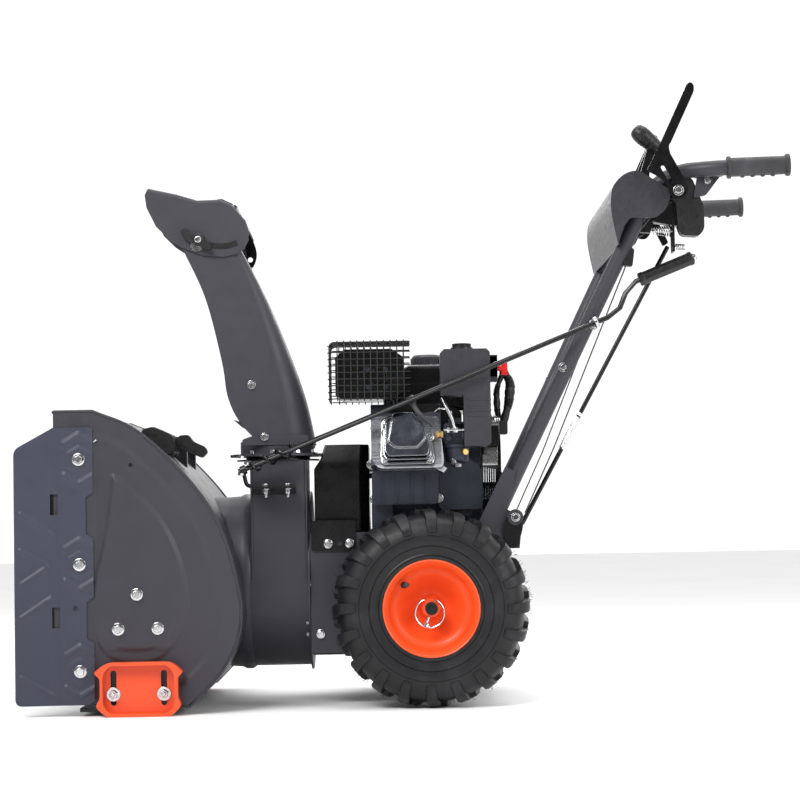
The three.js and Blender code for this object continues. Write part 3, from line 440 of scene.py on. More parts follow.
def helix(start, end, radius, turns):
    """Points of a coil about the line from start to end; radius may change along it."""
    start, end = Vector(start), Vector(end)
    side, up, _ = basis(end - start)
    total = 14 * turns
    path = []
    for i in range(total + 1):
        t = i / total
        r = radius(t) if callable(radius) else radius
        a = 2 * math.pi * turns * t
        path.append(start.lerp(end, t) + side * r * math.cos(a) + up * r * math.sin(a))
    return path


def hex_head(form, at, out, across=13.0, height=6.0, flange=0.0, stud=0.0, washer=0.0):
    """A hexagon bolt head on a face at `at`, pointing `out`, with an optional washer or flange."""
    start = Vector(at)
    along = basis(out)[2]
    if washer:
        form.lathe(start, out, [(0, washer - 0.4), (0.3, washer), (1.6, washer), (1.9, washer - 0.4)], 28)
        start = start + along * 1.8
    if flange:
        form.lathe(start, out, [(0, flange), (0.9, flange), (1.8, across * 0.56)], 24)
        start = start + along * 1.5
    r = across / 2 / math.cos(math.pi / 6)
    form.lathe(start, out, [(0, r), (height * 0.84, r), (height, r * 0.86)], 6, phase=across)
    if stud:
        tip = height + stud
        form.lathe(
            start, out, [(height - 0.5, across * 0.3), (tip - 1, across * 0.3), (tip, across * 0.22)], 12
        )


def bevel_edges(bm, width, segments, angle):
    """Rounds the edges whose two faces meet at more than the angle, in degrees."""
    limit = math.radians(angle)
    sharp = [e for e in bm.edges if len(e.link_faces) == 2 and e.calc_face_angle(0) > limit]
    bmesh.ops.bevel(
        bm, geom=sharp, offset=width * MM, segments=segments, profile=0.6, affect="EDGES", clamp_overlap=True
    )


SMOOTH_ANGLE = 38
MERGE_DISTANCE = 0.00002
SLIVER = 0.000005


def finish_mesh(mesh, smooth):
    """Shades the mesh smooth, apart from edges sharper than an angle in degrees."""
    for polygon in mesh.polygons:
        polygon.use_smooth = True
    mesh.set_sharp_from_angle(angle=math.radians(smooth))


def piece(name, form, finish, node=None, body="machine",
          bevel=0.0, segments=2, angle=35, smooth=SMOOTH_ANGLE, edit=None):
    """One visible piece: its mesh, edges rounded, and its material.

    It takes the place of a CAD node and rides on that node's body, or on the body named.
    """
    mesh = bpy.data.meshes.new(name)
    bm = bmesh.new()
    verts = [bm.verts.new(place(p)) for p in form.points]
    for face in form.faces:
        if len(set(face)) > 2:
            try:
                bm.faces.new([verts[i] for i in face])
            except ValueError:
                pass
    bmesh.ops.remove_doubles(bm, verts=bm.verts, dist=MERGE_DISTANCE)
    bmesh.ops.dissolve_degenerate(bm, edges=bm.edges, dist=SLIVER)
    bmesh.ops.recalc_face_normals(bm, faces=bm.faces)
    if edit:
        edit(bm)
    if bevel:
        bevel_edges(bm, bevel, segments, angle)
    bm.to_mesh(mesh)
    bm.free()
    replaces = (node,) if node else ()
    return register(name, mesh, BODY_OF[node] if node else body, finish, replaces, smooth)


def register(name, mesh, body, finish, replaces, smooth):
    """Adds the mesh to the scene, on its body, with its finish."""
    finish_mesh(mesh, smooth)
    obj = bpy.data.objects.new(name, mesh)
    bpy.context.scene.collection.objects.link(obj)
    mesh.materials.clear()
    mesh.materials.append(FINISHES[finish] if isinstance(finish, str) else finish)
    weighted = obj.modifiers.new("normals", "WEIGHTED_NORMAL")
    weighted.keep_sharp = True
    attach(obj, body)
    if replaces:
        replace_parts(obj, *replaces)
    return obj


def bolt_group(name, spots, out, across, height, bevel, finish="zinc_steel", slot=None, **extras):
    """A piece made of equal bolt heads that all point the same way."""
    bolts = Form()
    for spot in spots:
        hex_head(bolts, spot, out, across, height, **extras)
    piece(name, bolts, finish, bevel=bevel)


def refined(node, bevel=0.8, segments=2, angle=32):
    """A finer copy of a CAD node: merged faces and rounded edges, in the node's own finish."""
    bm = bmesh.new()
    bm.from_mesh(frame["nodes"][node].data)
    bmesh.ops.remove_doubles(bm, verts=bm.verts, dist=MERGE_DISTANCE)
    bmesh.ops.dissolve_limit(bm, angle_limit=math.radians(1), verts=bm.verts, edges=bm.edges)
    if bevel:
        bevel_edges(bm, bevel, segments, angle)
    name = node + "_fine"
    mesh = bpy.data.meshes.new(name)
    bm.to_mesh(mesh)
    bm.free()
    slot = SLOT_OF[node]
    return register(name, mesh, BODY_OF[node], slot, (node,), SMOOTH_ANGLE)


def cut(obj, form, operation="DIFFERENCE"):
    """Cuts a closed form out of a piece, or keeps only what lies inside it."""
    mesh = bpy.data.meshes.new("cutter")
    mesh.from_pydata([place(p) for p in form.points], [], form.faces)
    bm = bmesh.new()
    bm.from_mesh(mesh)
    bmesh.ops.recalc_face_normals(bm, faces=bm.faces)
    bm.to_mesh(mesh)
    bm.free()
    tool = bpy.data.objects.new("cutter", mesh)
    bpy.context.scene.collection.objects.link(tool)
    boolean = obj.modifiers.new("cut", "BOOLEAN")
    boolean.operation = operation
    boolean.solver = "EXACT"
    boolean.object = tool
    obj.modifiers.move(len(obj.modifiers) - 1, 0)
    obj.modifiers.remove(obj.modifiers["normals"])
    bpy.context.view_layer.update()
    result = bpy.data.meshes.new_from_object(obj.evaluated_get(bpy.context.evaluated_depsgraph_get()))
    obj.modifiers.clear()
    obj.data = result
    finish_mesh(result, SMOOTH_ANGLE)
    obj.modifiers.new("normals", "WEIGHTED_NORMAL").keep_sharp = True
    bpy.data.objects.remove(tool)


def soften(obj, width, segments, angle):
    """Rounds edges sharper than the angle, just before the normals are weighted."""
    bevel = obj.modifiers.new("edge", "BEVEL")
    bevel.width = width * MM
    bevel.segments = segments
    bevel.limit_method = "ANGLE"
    bevel.angle_limit = math.radians(angle)
    last = len(obj.modifiers) - 1
    obj.modifiers.move(last, last - 1)


# ---- pressed sheet metal

SIDES = {"left": -1, "right": 1}
REARWARDS, FORWARDS = (1, 0, 0), (-1, 0, 0)
RIGHTWARDS, LEFTWARDS = (0, 1, 0), (0, -1, 0)
UP, DOWN = (0, 0, 1), (0, 0, -1)


def step(low, high, value):
    """0 below low, 1 above high, and a smooth rise between; works on arrays."""
    t = np.clip((value - low) / (high - low), 0, 1)
    return t * t * (3 - 2 * t)


def depth_inside(outline, u, v):
    """Distance of each point (u, v) from the outline, negative outside it."""
    nearest = np.full(u.shape, 1e9)
    inside = np.zeros(u.shape, bool)
    for (a, b), (c, d) in zip(outline, outline[1:] + outline[:1]):
        run, rise = c - a, d - b
        t = np.clip(((u - a) * run + (v - b) * rise) / (run * run + rise * rise + 1e-9), 0, 1)
        nearest = np.minimum(nearest, np.hypot(u - a - t * run, v - b - t * rise))
        if b != d:
            inside ^= ((b > v) != (d > v)) & (u < run * (v - b) / (d - b) + a)
    return np.where(inside, nearest, -nearest)


def depth_from_line(a, b, u, v):
    """Distance of each point from the stretch between a and b."""
    run, rise = b[0] - a[0], b[1] - a[1]
    t = np.clip(((u - a[0]) * run + (v - a[1]) * rise) / (run * run + rise * rise), 0, 1)
    return np.hypot(u - a[0] - t * run, v - a[1] - t * rise)


def pressed_panel(name, side, outline, holes, face, thickness, relief, cell, node, edge=0.5):
    """A sheet standing along X and Z whose outer face lies at Y = face plus relief(x, z)."""
    us = [p[0] for p in outline]
    vs = [p[1] for p in outline]
    columns = np.arange(min(us) - cell, max(us) + 2 * cell, cell)
    rows = np.arange(min(vs) - cell, max(vs) + 2 * cell, cell)
    u, v = np.meshgrid(columns, rows)
    outer = face + relief(u, v)
    form = Form()
    for depth in (0, thickness):
        form.points += [Vector(p) for p in zip(u.ravel(), (side * (outer - depth)).ravel(), v.ravel())]
    wide, tall = len(columns), len(rows)
    half = wide * tall
    for r in range(tall - 1):
        for c in range(wide - 1):
            a = r * wide + c
            quad = [a, a + 1, a + wide + 1, a + wide]
            form.faces += [quad, [i + half for i in reversed(quad)]]
    rim = list(range(wide)) + [r * wide + wide - 1 for r in range(1, tall)]
    rim += [(tall - 1) * wide + c for c in range(wide - 2, -1, -1)]
    rim += [r * wide for r in range(tall - 2, 0, -1)]
    for a, b in zip(rim, rim[1:] + rim[:1]):
        form.faces.append([b, a, a + half, b + half])
    panel = piece(name, form, SLOT_OF[node], node)
    keep = Form().slab(outline, side * (face - 60), side * (face + 60), holes)
    cut(panel, keep, "INTERSECT")
    soften(panel, edge, 1, 50)


# ---- auger housing

HOUSING_BACK = [(-556, 503), (-482, 468), (-394, 381), (-342, 293), (-314, 165), (-340, 81), (-399, 14)]
PLATE_FACE = 289.0
PLATE_SHEET = 2.6
BEARING = (-485.0, 168.0)
BEARING_BOLTS = [(-485, 199), (-516.3, 142.4), (-451.2, 142.6)]
TEARDROP = [(-527, 402), (-500, 386), (-446, 331), (-416, 276), (-401, 219), (-399, 167), (-414, 122),
            (-446, 92), (-485, 82), (-524, 90), (-551, 114), (-561, 165), (-559, 222), (-541, 298)]
PLATE_HOLES = [(-550.9, 451.3), (-493.6, 412.3)]
WING_FRONT, WING_BACK, WING_LOW, WING_HIGH = -685.0, -556.0, 19.0, 476.0
SHOE_SPAN = (-555.0, -410.0)
SHOE_HIGH = 89.0


def flat_path(points, steps=6):
    """A smooth path in the XZ plane."""
    return [(p.x, p.y) for p in curve([(x, z, 0) for x, z in points], steps)]


def offset_path(path, by):
    """The path moved sideways, to the left of its direction for a positive distance."""
    moved = []
    for i, (x, z) in enumerate(path):
        a = path[max(i - 1, 0)]
        b = path[min(i + 1, len(path) - 1)]
        length = math.hypot(b[0] - a[0], b[1] - a[1])
        moved.append((x - (b[1] - a[1]) / length * by, z + (b[0] - a[0]) / length * by))
    return moved


def plate_relief(u, v):
    """Pressings of the side plate: a sunk field, a teardrop, a round pad for the bearing bolts."""
    border = [(-640, 520), (-560, 499), *flat_path(HOUSING_BACK, 8)[3:], (-545, -20), (-640, -20)]
    field = step(30, 40, depth_inside(border, u, v))
    drop = step(0, 10, depth_inside(flat_path([*TEARDROP, TEARDROP[0]], 5)[:-1], u, v))
    away = np.hypot(u - BEARING[0], v - BEARING[1])
    pad = step(-5, 5, 62 - away) * (1 - 0.8 * step(-30, 50, v - BEARING[1]))
    relief = -3.4 * field + 6.0 * drop + 2.4 * pad
    under_wing = 1 - step(WING_BACK - 4, WING_BACK + 8, u)
    under_shoe = (1 - step(SHOE_HIGH + 13, SHOE_HIGH + 24, v)) * step(-575, SHOE_SPAN[0], u)
    return np.where(relief > 0, relief * (1 - under_wing) * (1 - under_shoe), relief * (1 - under_wing))


def side_plate(side):
    """One side of the auger housing, with the bolts of its bearing."""
    sign = SIDES[side]
    back = offset_path(flat_path(HOUSING_BACK), -3.0)[1:-1]
    outline = [(-621, 500), (-560, 500), *back, (-402, 17), (-545, 17), (-561, 33), (-621, 95)]
    holes = [[(x - 4.6, z), (x, z - 4.6), (x + 4.6, z), (x, z + 4.6)] for x, z in PLATE_HOLES]
    node = f"{side}_side_plate"
    pressed_panel(node + "_pressed", sign, outline, holes, PLATE_FACE, PLATE_SHEET, plate_relief, 2.8, node)
    spots = [(x, sign * (PLATE_FACE + 4.4), z) for x, z in BEARING_BOLTS]
    bolt_group(f"{side}_bearing_bolts", spots, (0, sign, 0), 13, 6, 0.5, flange=10.2)


def housing_shell():
    """The back sheet, with rolled front edges and a seam bead along each side plate, and a near-black tube
    in each seam's gap as painted shade.
    """
    refined("auger_housing", bevel=0.7)
    path = flat_path(HOUSING_BACK, 8)
    whole = [(-621, 503), *path, (-545, 14)]
    edge = offset_path(whole, 0.6)
    bead = Form()
    for y in (-286.5, 286.5, -276, 276):
        bead.tube([(x, y, z) for x, z in edge], 1.5, 8)
    for z, x in ((501.5, -621), (15.5, -545)):
        bead.tube([(x, -286, z), (x, 286, z)], 2.6, 10)
    piece("housing_seams", bead, "body_paint")
    # A near-black tube along each seam's gap: painted shade.
    gap = Form()
    for y in (-288.2, 288.2):
        gap.tube([(x, y, z) for x, z in offset_path(whole, -2.4)], 1.0, 6)
    piece("housing_gap_shade", gap, PAINTED_SHADE)


# ---- drift wings

WING_FACE = 291.8
WING_SHEET = 2.4
WING_BEND = -618.0
WING_FLARE = 10.0
WING_BOLTS = (422.7, 249.3, 74.1)
WING_BOLT_X = -579.0
WING_RIBS = [((-674, 334), (-622, 298)), ((-675, 274), (-634, 251)), ((-673, 219), (-632, 246)),
             ((-675, 163), (-627, 195)), ((-675, 66), (-624, 35))]
WING_NOTCHES = [(120, 196), (292, 368)]
WING_SLOTS = [(-626.5, 332, 366), (-624.5, 146, 180)]


def chevron(z, turn):
    """Ends of the two strokes of a chevron above (turn 1) or below (turn -1) a bolt."""
    tip = (WING_BOLT_X, z + turn * 41)
    return [((WING_BOLT_X - 24, z + turn * 26), tip), (tip, (WING_BOLT_X + 22, z + turn * 28))]


def wing_relief(u, v):
    """Pressings of a wing: its flare, the fold, ribs, and a chevron pair and a pocket at each bolt."""
    relief = WING_FLARE * np.clip((WING_BEND - u) / (WING_BEND - WING_FRONT), 0, 1)
    relief = relief + 1.3 * step(-629, -624, u) * (1 - step(-616, -611, u))
    for a, b in WING_RIBS:
        relief = relief + 2.6 * (1 - step(1.0, 5.0, depth_from_line(a, b, u, v)))
    for z in WING_BOLTS:
        for turn in (1, -1):
            for a, b in chevron(z, turn):
                relief = np.maximum(relief, 3.0 * (1 - step(1.0, 7.0, depth_from_line(a, b, u, v))))
        corners = np.arange(6) * math.pi / 3 + math.pi / 6
        pocket = [(WING_BOLT_X + 24 * math.cos(a), z + 24 * math.sin(a)) for a in corners]
        relief = relief + 1.6 * step(-2, 4, depth_inside(pocket, u, v))
    return relief


def drift_wing(side):
    """The tall flared sheet in front of a side plate, with its bolts, and a black strip behind its slots as
    painted shade.
    """
    sign = SIDES[side]
    outline = [(WING_BACK, WING_HIGH), (-621, WING_HIGH), (WING_FRONT, 440)]
    outline = rounded(outline + [(WING_FRONT, WING_LOW), (WING_BACK, WING_LOW)], [6, 2, 10, 12, 16])
    for low, high in WING_NOTCHES:
        outline += [(WING_BACK, low), (-568, low + 8), (-568, high - 8), (WING_BACK, high)]
    holes = [rectangle(x, low, x + 13, high) for x, low, high in WING_SLOTS]
    holes.append(circle((-586, 178), 4.2, 16))
    node = f"{side}_drift_wing"
    pressed_panel(
        node + "_pressed", sign, outline, holes, WING_FACE, WING_SHEET, wing_relief, 2.2, node, 0.8
    )
    # A black strip behind the slots so that they look dark: painted shade.
    slot_shade_strip = Form()
    y = sign * 287.2
    slot_shade_strip.slab(rectangle(-640, 122, -603, 385), y - 0.7, y + 0.7)
    piece(f"{side}_wing_slot_shade", slot_shade_strip, "black_paint", bevel=0.4)
    spots = [(WING_BOLT_X, sign * (WING_FACE + 1.4), z) for z in WING_BOLTS]
    bolt_group(f"{side}_wing_bolts", spots, (0, sign, 0), 13, 6, 0.5, flange=10.4)


# ---- skid shoes

SHOE = [(-535, 0), (-428, 0), (-412, 18), (-418, 30), (-418, 64), (-409, 72), (-428, 89), (-535, 89),
        (-556, 72), (-545, 64), (-545, 30), (-553, 18)]
SHOE_SLOTS = (-525, -442)
SHOE_POCKET = [(-528, 5), (-434, 5), (-422, 18), (-423, 70), (-434, 84), (-530, 84), (-541, 70), (-541, 18)]


def skid_shoe(side):
    """A deep-drawn shoe with two slots, and the bolts that hold it."""
    sign = SIDES[side]
    node = f"{side}_skid_shoe"
    base, top = sorted((sign * (PLATE_FACE + 0.3), sign * (PLATE_FACE + 25)))
    shoe = piece(node + "_pressed", Form().slab(rounded(SHOE, 13, 5), base, top), "orange_paint", node)
    inner = sorted((sign * (PLATE_FACE + 4.3), sign * (PLATE_FACE + 40)))
    cut(shoe, Form().slab(rounded(SHOE_POCKET, 10, 5), *inner))
    slots = Form()
    for x in SHOE_SLOTS:
        slots.slab(oblong((x, 22), (x, 70), 5), sign * PLATE_FACE - 20, sign * PLATE_FACE + 20)
    cut(shoe, slots)
    soften(shoe, 1.5, 3, 50)
    spots = [(x, sign * (PLATE_FACE + 4.6), 36) for x in SHOE_SLOTS]
    bolt_group(f"{side}_shoe_bolts", spots, (0, sign, 0), 13, 7.5, 0.4, washer=11.5, stud=5)


# ---- wheels

WHEEL_Y = 213.0
AXLE_Z = 166.0
LUGS = 20
TREAD = 160.0
# Across the tyre from the mid-plane outwards: place along the axle, radius, the direction that a
# lug stands out in, how far it stands, half its width, and how far it leans round the wheel.
LUG_LINE = [(-4, 157, 0, 1, 9, 9, -9), (14, 156.5, 0.1, 1, 9.2, 10, -4),
            (30, 153, 0.35, 0.94, 9.5, 10.5, 0), (41, 146, 0.75, 0.66, 8, 10, 2),
            (48, 136, 0.97, 0.24, 4.6, 9, 3), (50.3, 127, 1, 0.1, 1.6, 8, 3)]
CARCASS = [(34, 79), (45, 79.5), (49, 82), (50, 87), (47.5, 92), (48, 98), (51, 108), (51.5, 120),
           (48.5, 134), (42, 146), (30, 153.5), (14, 157), (0, 157.6)]


def wheel_point(side, along, radius, angle):
    """A point of a wheel: along the axle outwards from its mid-plane, and round from straight up."""
    y = SIDES[side] * (WHEEL_Y + along)
    return Vector((radius * math.sin(angle), y, AXLE_Z + radius * math.cos(angle)))


def tyre(side):
    """The carcass, two staggered rows of lugs, and the rubber hairs of a new tyre."""
    sign = SIDES[side]
    outer = CARCASS + [(-a, r) for a, r in reversed(CARCASS[:-1])]
    inner = [(-34, 84), (-42, 100), (-44, 125), (-30, 144), (30, 144), (44, 125), (42, 100), (34, 84)]
    centre = (0, sign * WHEEL_Y, AXLE_Z)
    body = Form().ring(centre, RIGHTWARDS, [(sign * a, r) for a, r in outer + inner], 96)
    for radius, along in ((104, 50.2), (121, 51.2), (88, 50.0)):
        ridge = ((along - 1.5, radius - 1.4), (along + 1.1, radius), (along - 1.5, radius + 1.4))
        body.ring(centre, RIGHTWARDS, [(sign * a, r) for a, r in ridge], 96)
    piece(f"{side}_tyre_carcass", body, "tyre_rubber", f"{side}_tyre", smooth=30)
    lugs = Form()
    for half in (1, -1):
        for i in range(LUGS):
            middle = 2 * math.pi * (i + (0 if half == 1 else 0.5)) / LUGS
            rows = []
            for along, radius, out_y, out_r, lift, width, lean in LUG_LINE:
                row = []
                for across, height in ((-1, -2.5), (1, -2.5), (0.86, lift), (-0.86, lift)):
                    angle = middle + half * lean / TREAD + across * width / radius
                    place_y, place_r = half * (along + out_y * height), radius + out_r * height
                    row.append(wheel_point(side, place_y, place_r, angle))
                rows.append(row)
            lugs.skin(rows)
    piece(f"{side}_tyre_lugs", lugs, "tyre_rubber", body="wheels", bevel=1.3, segments=2, angle=40)
    hairs = Form()
    chance = random.Random(7)
    for _ in range(170):
        angle = chance.uniform(0, 2 * math.pi)
        along = chance.choice((-1, 1)) * chance.uniform(8, 40)
        radius = 165 if abs(along) < 30 else 157
        start = wheel_point(side, along, radius - 1, angle)
        aside, round_by = chance.uniform(-2, 2), chance.uniform(-0.01, 0.01)
        bend = wheel_point(side, along + aside, radius + 2.5, angle + round_by)
        aside, out, round_by = chance.uniform(-4, 4), chance.uniform(3, 6), chance.uniform(-0.03, 0.03)
        end = wheel_point(side, along + aside, radius + out, angle + round_by)
        if end.z > 8:
            hairs.tube([start, bend, end], 0.35, 4)
    piece(f"{side}_tyre_hairs", hairs, "tyre_rubber", body="wheels")


RIM = [(36, 73), (43, 76), (47.5, 80), (49.5, 81.5), (50.5, 80.5), (50, 78.5), (46, 76), (42.5, 72.5),
       (38, 70.5), (31, 69), (26, 65.5), (23.5, 60), (19, 54), (8, 45), (-2, 36), (-6, 29), (-6.5, 24),
       (-3, 20), (4, 17.5), (22, 16), (30, 15.5), (32, 14.3), (32, 10.4), (-30, 10.4), (-30, 13), (-9, 15),
       (-9, 27), (-4, 38), (6, 47), (16, 56), (21, 66), (28, 72)]


def rim(side):
    """The pressed rim with its hub, the valve, the lynch pin and the end of the axle."""
    sign = SIDES[side]
    centre = (0, sign * WHEEL_Y, AXLE_Z)
    dish = Form().ring(centre, RIGHTWARDS, [(sign * a, r) for a, r in RIM], 96)
    back = [(-50.5, 81.5), (-47, 79), (-43, 76), (-36, 73), (28, 72), (28, 69.5), (-38, 70.5), (-49, 77)]
    dish.ring(centre, RIGHTWARDS, [(sign * a, r) for a, r in back], 96)
    piece(f"{side}_rim_dish", dish, "orange_paint", f"{side}_rim", smooth=44)
    valve = Form()
    root = wheel_point(side, 22, 60, -0.86)
    tip = wheel_point(side, 43, 57, -0.80)
    along = tip - root
    profile = [(0, 6), (3, 5.6), (5, 4), (14, 3.4), (15, 4.4), (24, 4.2), (25, 3.4)]
    valve.lathe(root, along, profile, 20)
    piece(f"{side}_valve", valve, "grip_rubber", body="wheels", bevel=0.3)
    pin = Form()
    y = sign * (WHEEL_Y + 36)
    hoop = [(-3 + 24 * math.sin(a), y, AXLE_Z - 8 + 24 * math.cos(a)) for a in np.linspace(0.35, 5.9, 40)]
    pin.tube(hoop, 1.3, 8)
    hook = [(-3, y, AXLE_Z - 32), (-9, y + sign * 2, AXLE_Z - 26), (-5, y + sign, AXLE_Z - 14)]
    pin.tube(hook, 2.6, 10)
    pin.lathe((-10, y, AXLE_Z - 30), (1, 0, 2), [(-1, 4), (0, 5), (6, 5), (7, 4)], 16)
    piece(f"{side}_lynch_pin", pin, "zinc_steel", body="wheels")
    # The axle end is near-black: painted shade for its bore and hub.
    profile = [(0, 10.6), (21, 10.6), (22.4, 9.4), (22.5, 6.8), (20.6, 6.2), (20.6, 0)]
    end = Form().lathe((0, sign * (WHEEL_Y + 30), AXLE_Z), (0, sign, 0), profile, 32)
    piece(f"{side}_axle_end", end, PAINTED_SHADE, body="wheels", bevel=0.3)


# ---- chute

CHUTE_Y = -80.0
CHUTE_HALF = 65.0
CHUTE_WALL = 2.6
RING_Z = 427.0
RING_TEETH = 19
CHUTE_REAR = [(-195.5, 446), (-214, 531), (-248, 628), (-282, 710), (-321, 789)]
CHUTE_FRONT = [(-290, 450), (-322, 486), (-342, 530), (-351, 590), (-378, 700), (-417, 788)]
CHUTE_EAR = [(-357, 768), (-356.7, 784), (-354.4, 793), (-346.4, 810), (-343.8, 822), (-343.4, 856),
             (-346, 863), (-350, 864.8), (-354.6, 862.6), (-357.6, 855), (-372, 768)]
HINGE = (-350.0, 858.0)
HOOD_HALF = 69.0
HOOD_SHEET = 2.5
HOOD_FOLD = 13
HOOD = [(-474, 892), (-480, 880), (-477, 858), (-461, 825), (-440, 804), (-416, 788), (-381, 774),
        (-347, 771), (-325, 775), (-310, 784), (-302, 799), (-301, 816), (-307, 834), (-331, 862),
        (-350, 871), (-390, 870), (-425, 881)]
HOOD_OPEN = range(11)


def channel(front, rear, half, corner, rows):
    """Rows round a channel open at its front; the rear corners tighten from bottom to top."""
    arc = 8
    result = []
    for r in range(rows + 1):
        t = r / rows
        round_off = corner[0] + (corner[1] - corner[0]) * t
        f, b = at_share(front, t), at_share(rear, t)
        length = math.hypot(b[0] - f[0], b[1] - f[1])
        heading = ((b[0] - f[0]) / length, (b[1] - f[1]) / length)
        section = [(0.0, -half), (length * 0.2, -half), (length * 0.4, -half)]
        for sign in (-1, 1):
            for k in range(arc + 1):
                a = math.pi / 2 * k / arc
                a = a if sign < 0 else math.pi / 2 - a
                along = length - round_off * (1 - math.sin(a))
                section.append((along, sign * (half - round_off * (1 - math.cos(a)))))
        section += [(length * 0.4, half), (length * 0.2, half), (0.0, half)]
        result.append([(f[0] + heading[0] * s, CHUTE_Y + y, f[1] + heading[1] * s) for s, y in section])
    return result


def at_share(path, t):
    """The point at a share of a polyline's length."""
    lengths = [math.dist(a, b) for a, b in zip(path, path[1:])]
    left = t * sum(lengths)
    for (a, b), length in zip(zip(path, path[1:]), lengths):
        if left <= length + 1e-9:
            s = left / length
            return (a[0] + (b[0] - a[0]) * s, a[1] + (b[1] - a[1]) * s)
        left -= length
    return path[-1]


def thicken(obj, thickness, offset=-1.0):
    """Gives a surface its sheet thickness, with a fine rounded edge."""
    solid = obj.modifiers.new("thickness", "SOLIDIFY")
    solid.thickness = thickness * MM
    solid.offset = offset
    obj.modifiers.move(1, 0)
    soften(obj, 0.5, 2, 55)


def chute():
    """The channel, its toothed foot, the ears of the hinge and what is bolted on."""
    rows = channel(flat_path(CHUTE_FRONT), flat_path(CHUTE_REAR), CHUTE_HALF - CHUTE_WALL, (50, 9), 36)
    form = Form().skin(rows, wrap=False)
    body = piece("chute_channel", form, "body_paint", "chute", smooth=50)
    thicken(body, CHUTE_WALL, offset=1.0)
    base = Form()
    centre = (-260, CHUTE_Y, RING_Z)
    base.ring(centre, UP, [(0, 57), (0, 82), (4, 82), (4, 65), (26, 65), (26, 57)], 72)
    for i in range(RING_TEETH):
        a = 2 * math.pi * i / RING_TEETH
        turn = Matrix.Translation(centre) @ Matrix.Rotation(a, 4, "Z")
        tooth = Form().plate([(76, -8), (83, -6.5), (83, 6.5), (76, 8)], 2, -0.2, 4.2, level=True)
        base.merge(tooth.moved(turn))
    band = rounded([(-318, 446), (-205, 446), (-205, 462), (-300, 462), (-318, 456)], 4)
    for y in (-CHUTE_HALF - 1.8, CHUTE_HALF - 0.4):
        base.slab(band, CHUTE_Y + y, CHUTE_Y + y + 2.2)
    piece("chute_base", base, "body_paint", body="chute", bevel=0.5)
    for sign in (-1, 1):
        y = CHUTE_Y + sign * (CHUTE_HALF - 4.1)
        side = "near" if sign < 0 else "far"
        ear = Form().plate(CHUTE_EAR, 1, y - 1.4, y + 1.4)
        piece(f"chute_ear_{side}", ear, "body_paint", body="chute", bevel=0.5)
    strap = Form()
    for y in (CHUTE_Y - 58, CHUTE_Y + 54):
        path = [(-322, 487), (-334, 491), (-318, 477), (-301, 468)]
        strap.plate(path, 2, y, y + 4)
    piece("chute_lip", strap, "body_paint", body="chute", bevel=0.5)
    lug = flat_path([(-322, 838), (-303, 815), (-294.5, 788), (-300, 766), (-312, 757)], 6)
    lug += flat_path([(-317, 766), (-312, 786), (-318, 806), (-330, 825)], 5)
    fin = Form().slab(lug, CHUTE_Y + 40, CHUTE_Y + 43, [circle((-306, 777), 4.5, 16)])
    piece("chute_lug", fin, "black_paint", body="chute", bevel=0.5)
    bolts = Form()
    for sign in (-1, 1):
        y = CHUTE_Y + sign * (CHUTE_HALF + 0.6)
        hex_head(bolts, (-301, y, 549.8), (0, sign, 0), 10, 5, washer=7.5)
        hex_head(bolts, (-279.5, y + sign * 1.6, 460), (0, sign, 0), 10, 5, washer=7)
    dome = [(0, 5), (1, 7), (6, 6.5), (7.5, 4), (8, 1)]
    for x, out in ((-300, 45), (-265, 62), (-225, 62), (-194, 62)):
        bolts.lathe((x, CHUTE_Y - out, 431), UP, dome, 6)
    piece("chute_bolts", bolts, "zinc_steel", body="chute", bevel=0.3)


def deflector():
    """The hood: a flat-sided shell whose top folds over round corners, open in front and below."""
    count = len(HOOD)
    form = Form()
    low, high = CHUTE_Y - HOOD_HALF, CHUTE_Y + HOOD_HALF
    form.add([(x, low, z) for x, z in HOOD] + [(x, high, z) for x, z in HOOD], [])
    form.faces = [list(range(count)), list(range(count, 2 * count))[::-1]]
    for i in range(count):
        j = (i + 1) % count
        form.faces.append([i, i + count, j + count, j])

    def open_front(bm):
        """Takes away the front and the underside, then rounds the folds that are left."""
        opened = {frozenset((HOOD[i], HOOD[i + 1])) for i in HOOD_OPEN}
        corners = {(round(place((x, 0, z)).x, 5), round(z * MM, 5)): (x, z) for x, z in HOOD}

        def ends(item):
            """The corners of the outline that a face or an edge lies on."""
            return frozenset(corners[round(v.co.x, 5), round(v.co.z, 5)] for v in item.verts)

        doomed = [f for f in bm.faces if len(f.verts) == 4 and ends(f) in opened]
        folds = [e for e in bm.edges if len(ends(e)) == 2 and ends(e) not in opened]
        bmesh.ops.delete(bm, geom=doomed, context="FACES")
        folds = [e for e in folds if e.is_valid]
        width = HOOD_FOLD * MM
        bmesh.ops.bevel(
            bm, geom=folds, offset=width, segments=5, profile=0.5, affect="EDGES", clamp_overlap=True
        )

    hood = piece("deflector_hood", form, "body_paint", "deflector", edit=open_front, smooth=42)
    thicken(hood, HOOD_SHEET)
    # Near-black arcs on both sides of the hood where its slot is: painted shade in the slot.
    arc = circle(HINGE, 74, 14, -2.30, 1.15) + circle(HINGE, 64, 14, -1.15, -1.15)
    plates = Form()
    for sign in (-1, 1):
        y = CHUTE_Y + sign * (HOOD_HALF + 0.15)
        plates.slab(arc, y - 0.25, y + 0.25)
    piece("deflector_slot_shade", plates, PAINTED_SHADE, body="deflector")
    hinge = Form()
    plate = rounded(
        [(-362, 873.5), (-350, 875.5), (-330, 866), (-318, 842), (-322, 839), (-335, 862), (-350, 871)], 1.5
    )
    for y in (CHUTE_Y - 40, CHUTE_Y + 10):
        hinge.slab(plate, y, y + 30)
    piece("deflector_hinge", hinge, "black_paint", body="deflector", bevel=0.5)
    spring = Form().tube(helix((-326, CHUTE_Y - 60, 858), (-326, CHUTE_Y + 50, 858), 4.6, 26), 0.9, 6)
    piece("deflector_spring", spring, "zinc_steel", body="deflector")


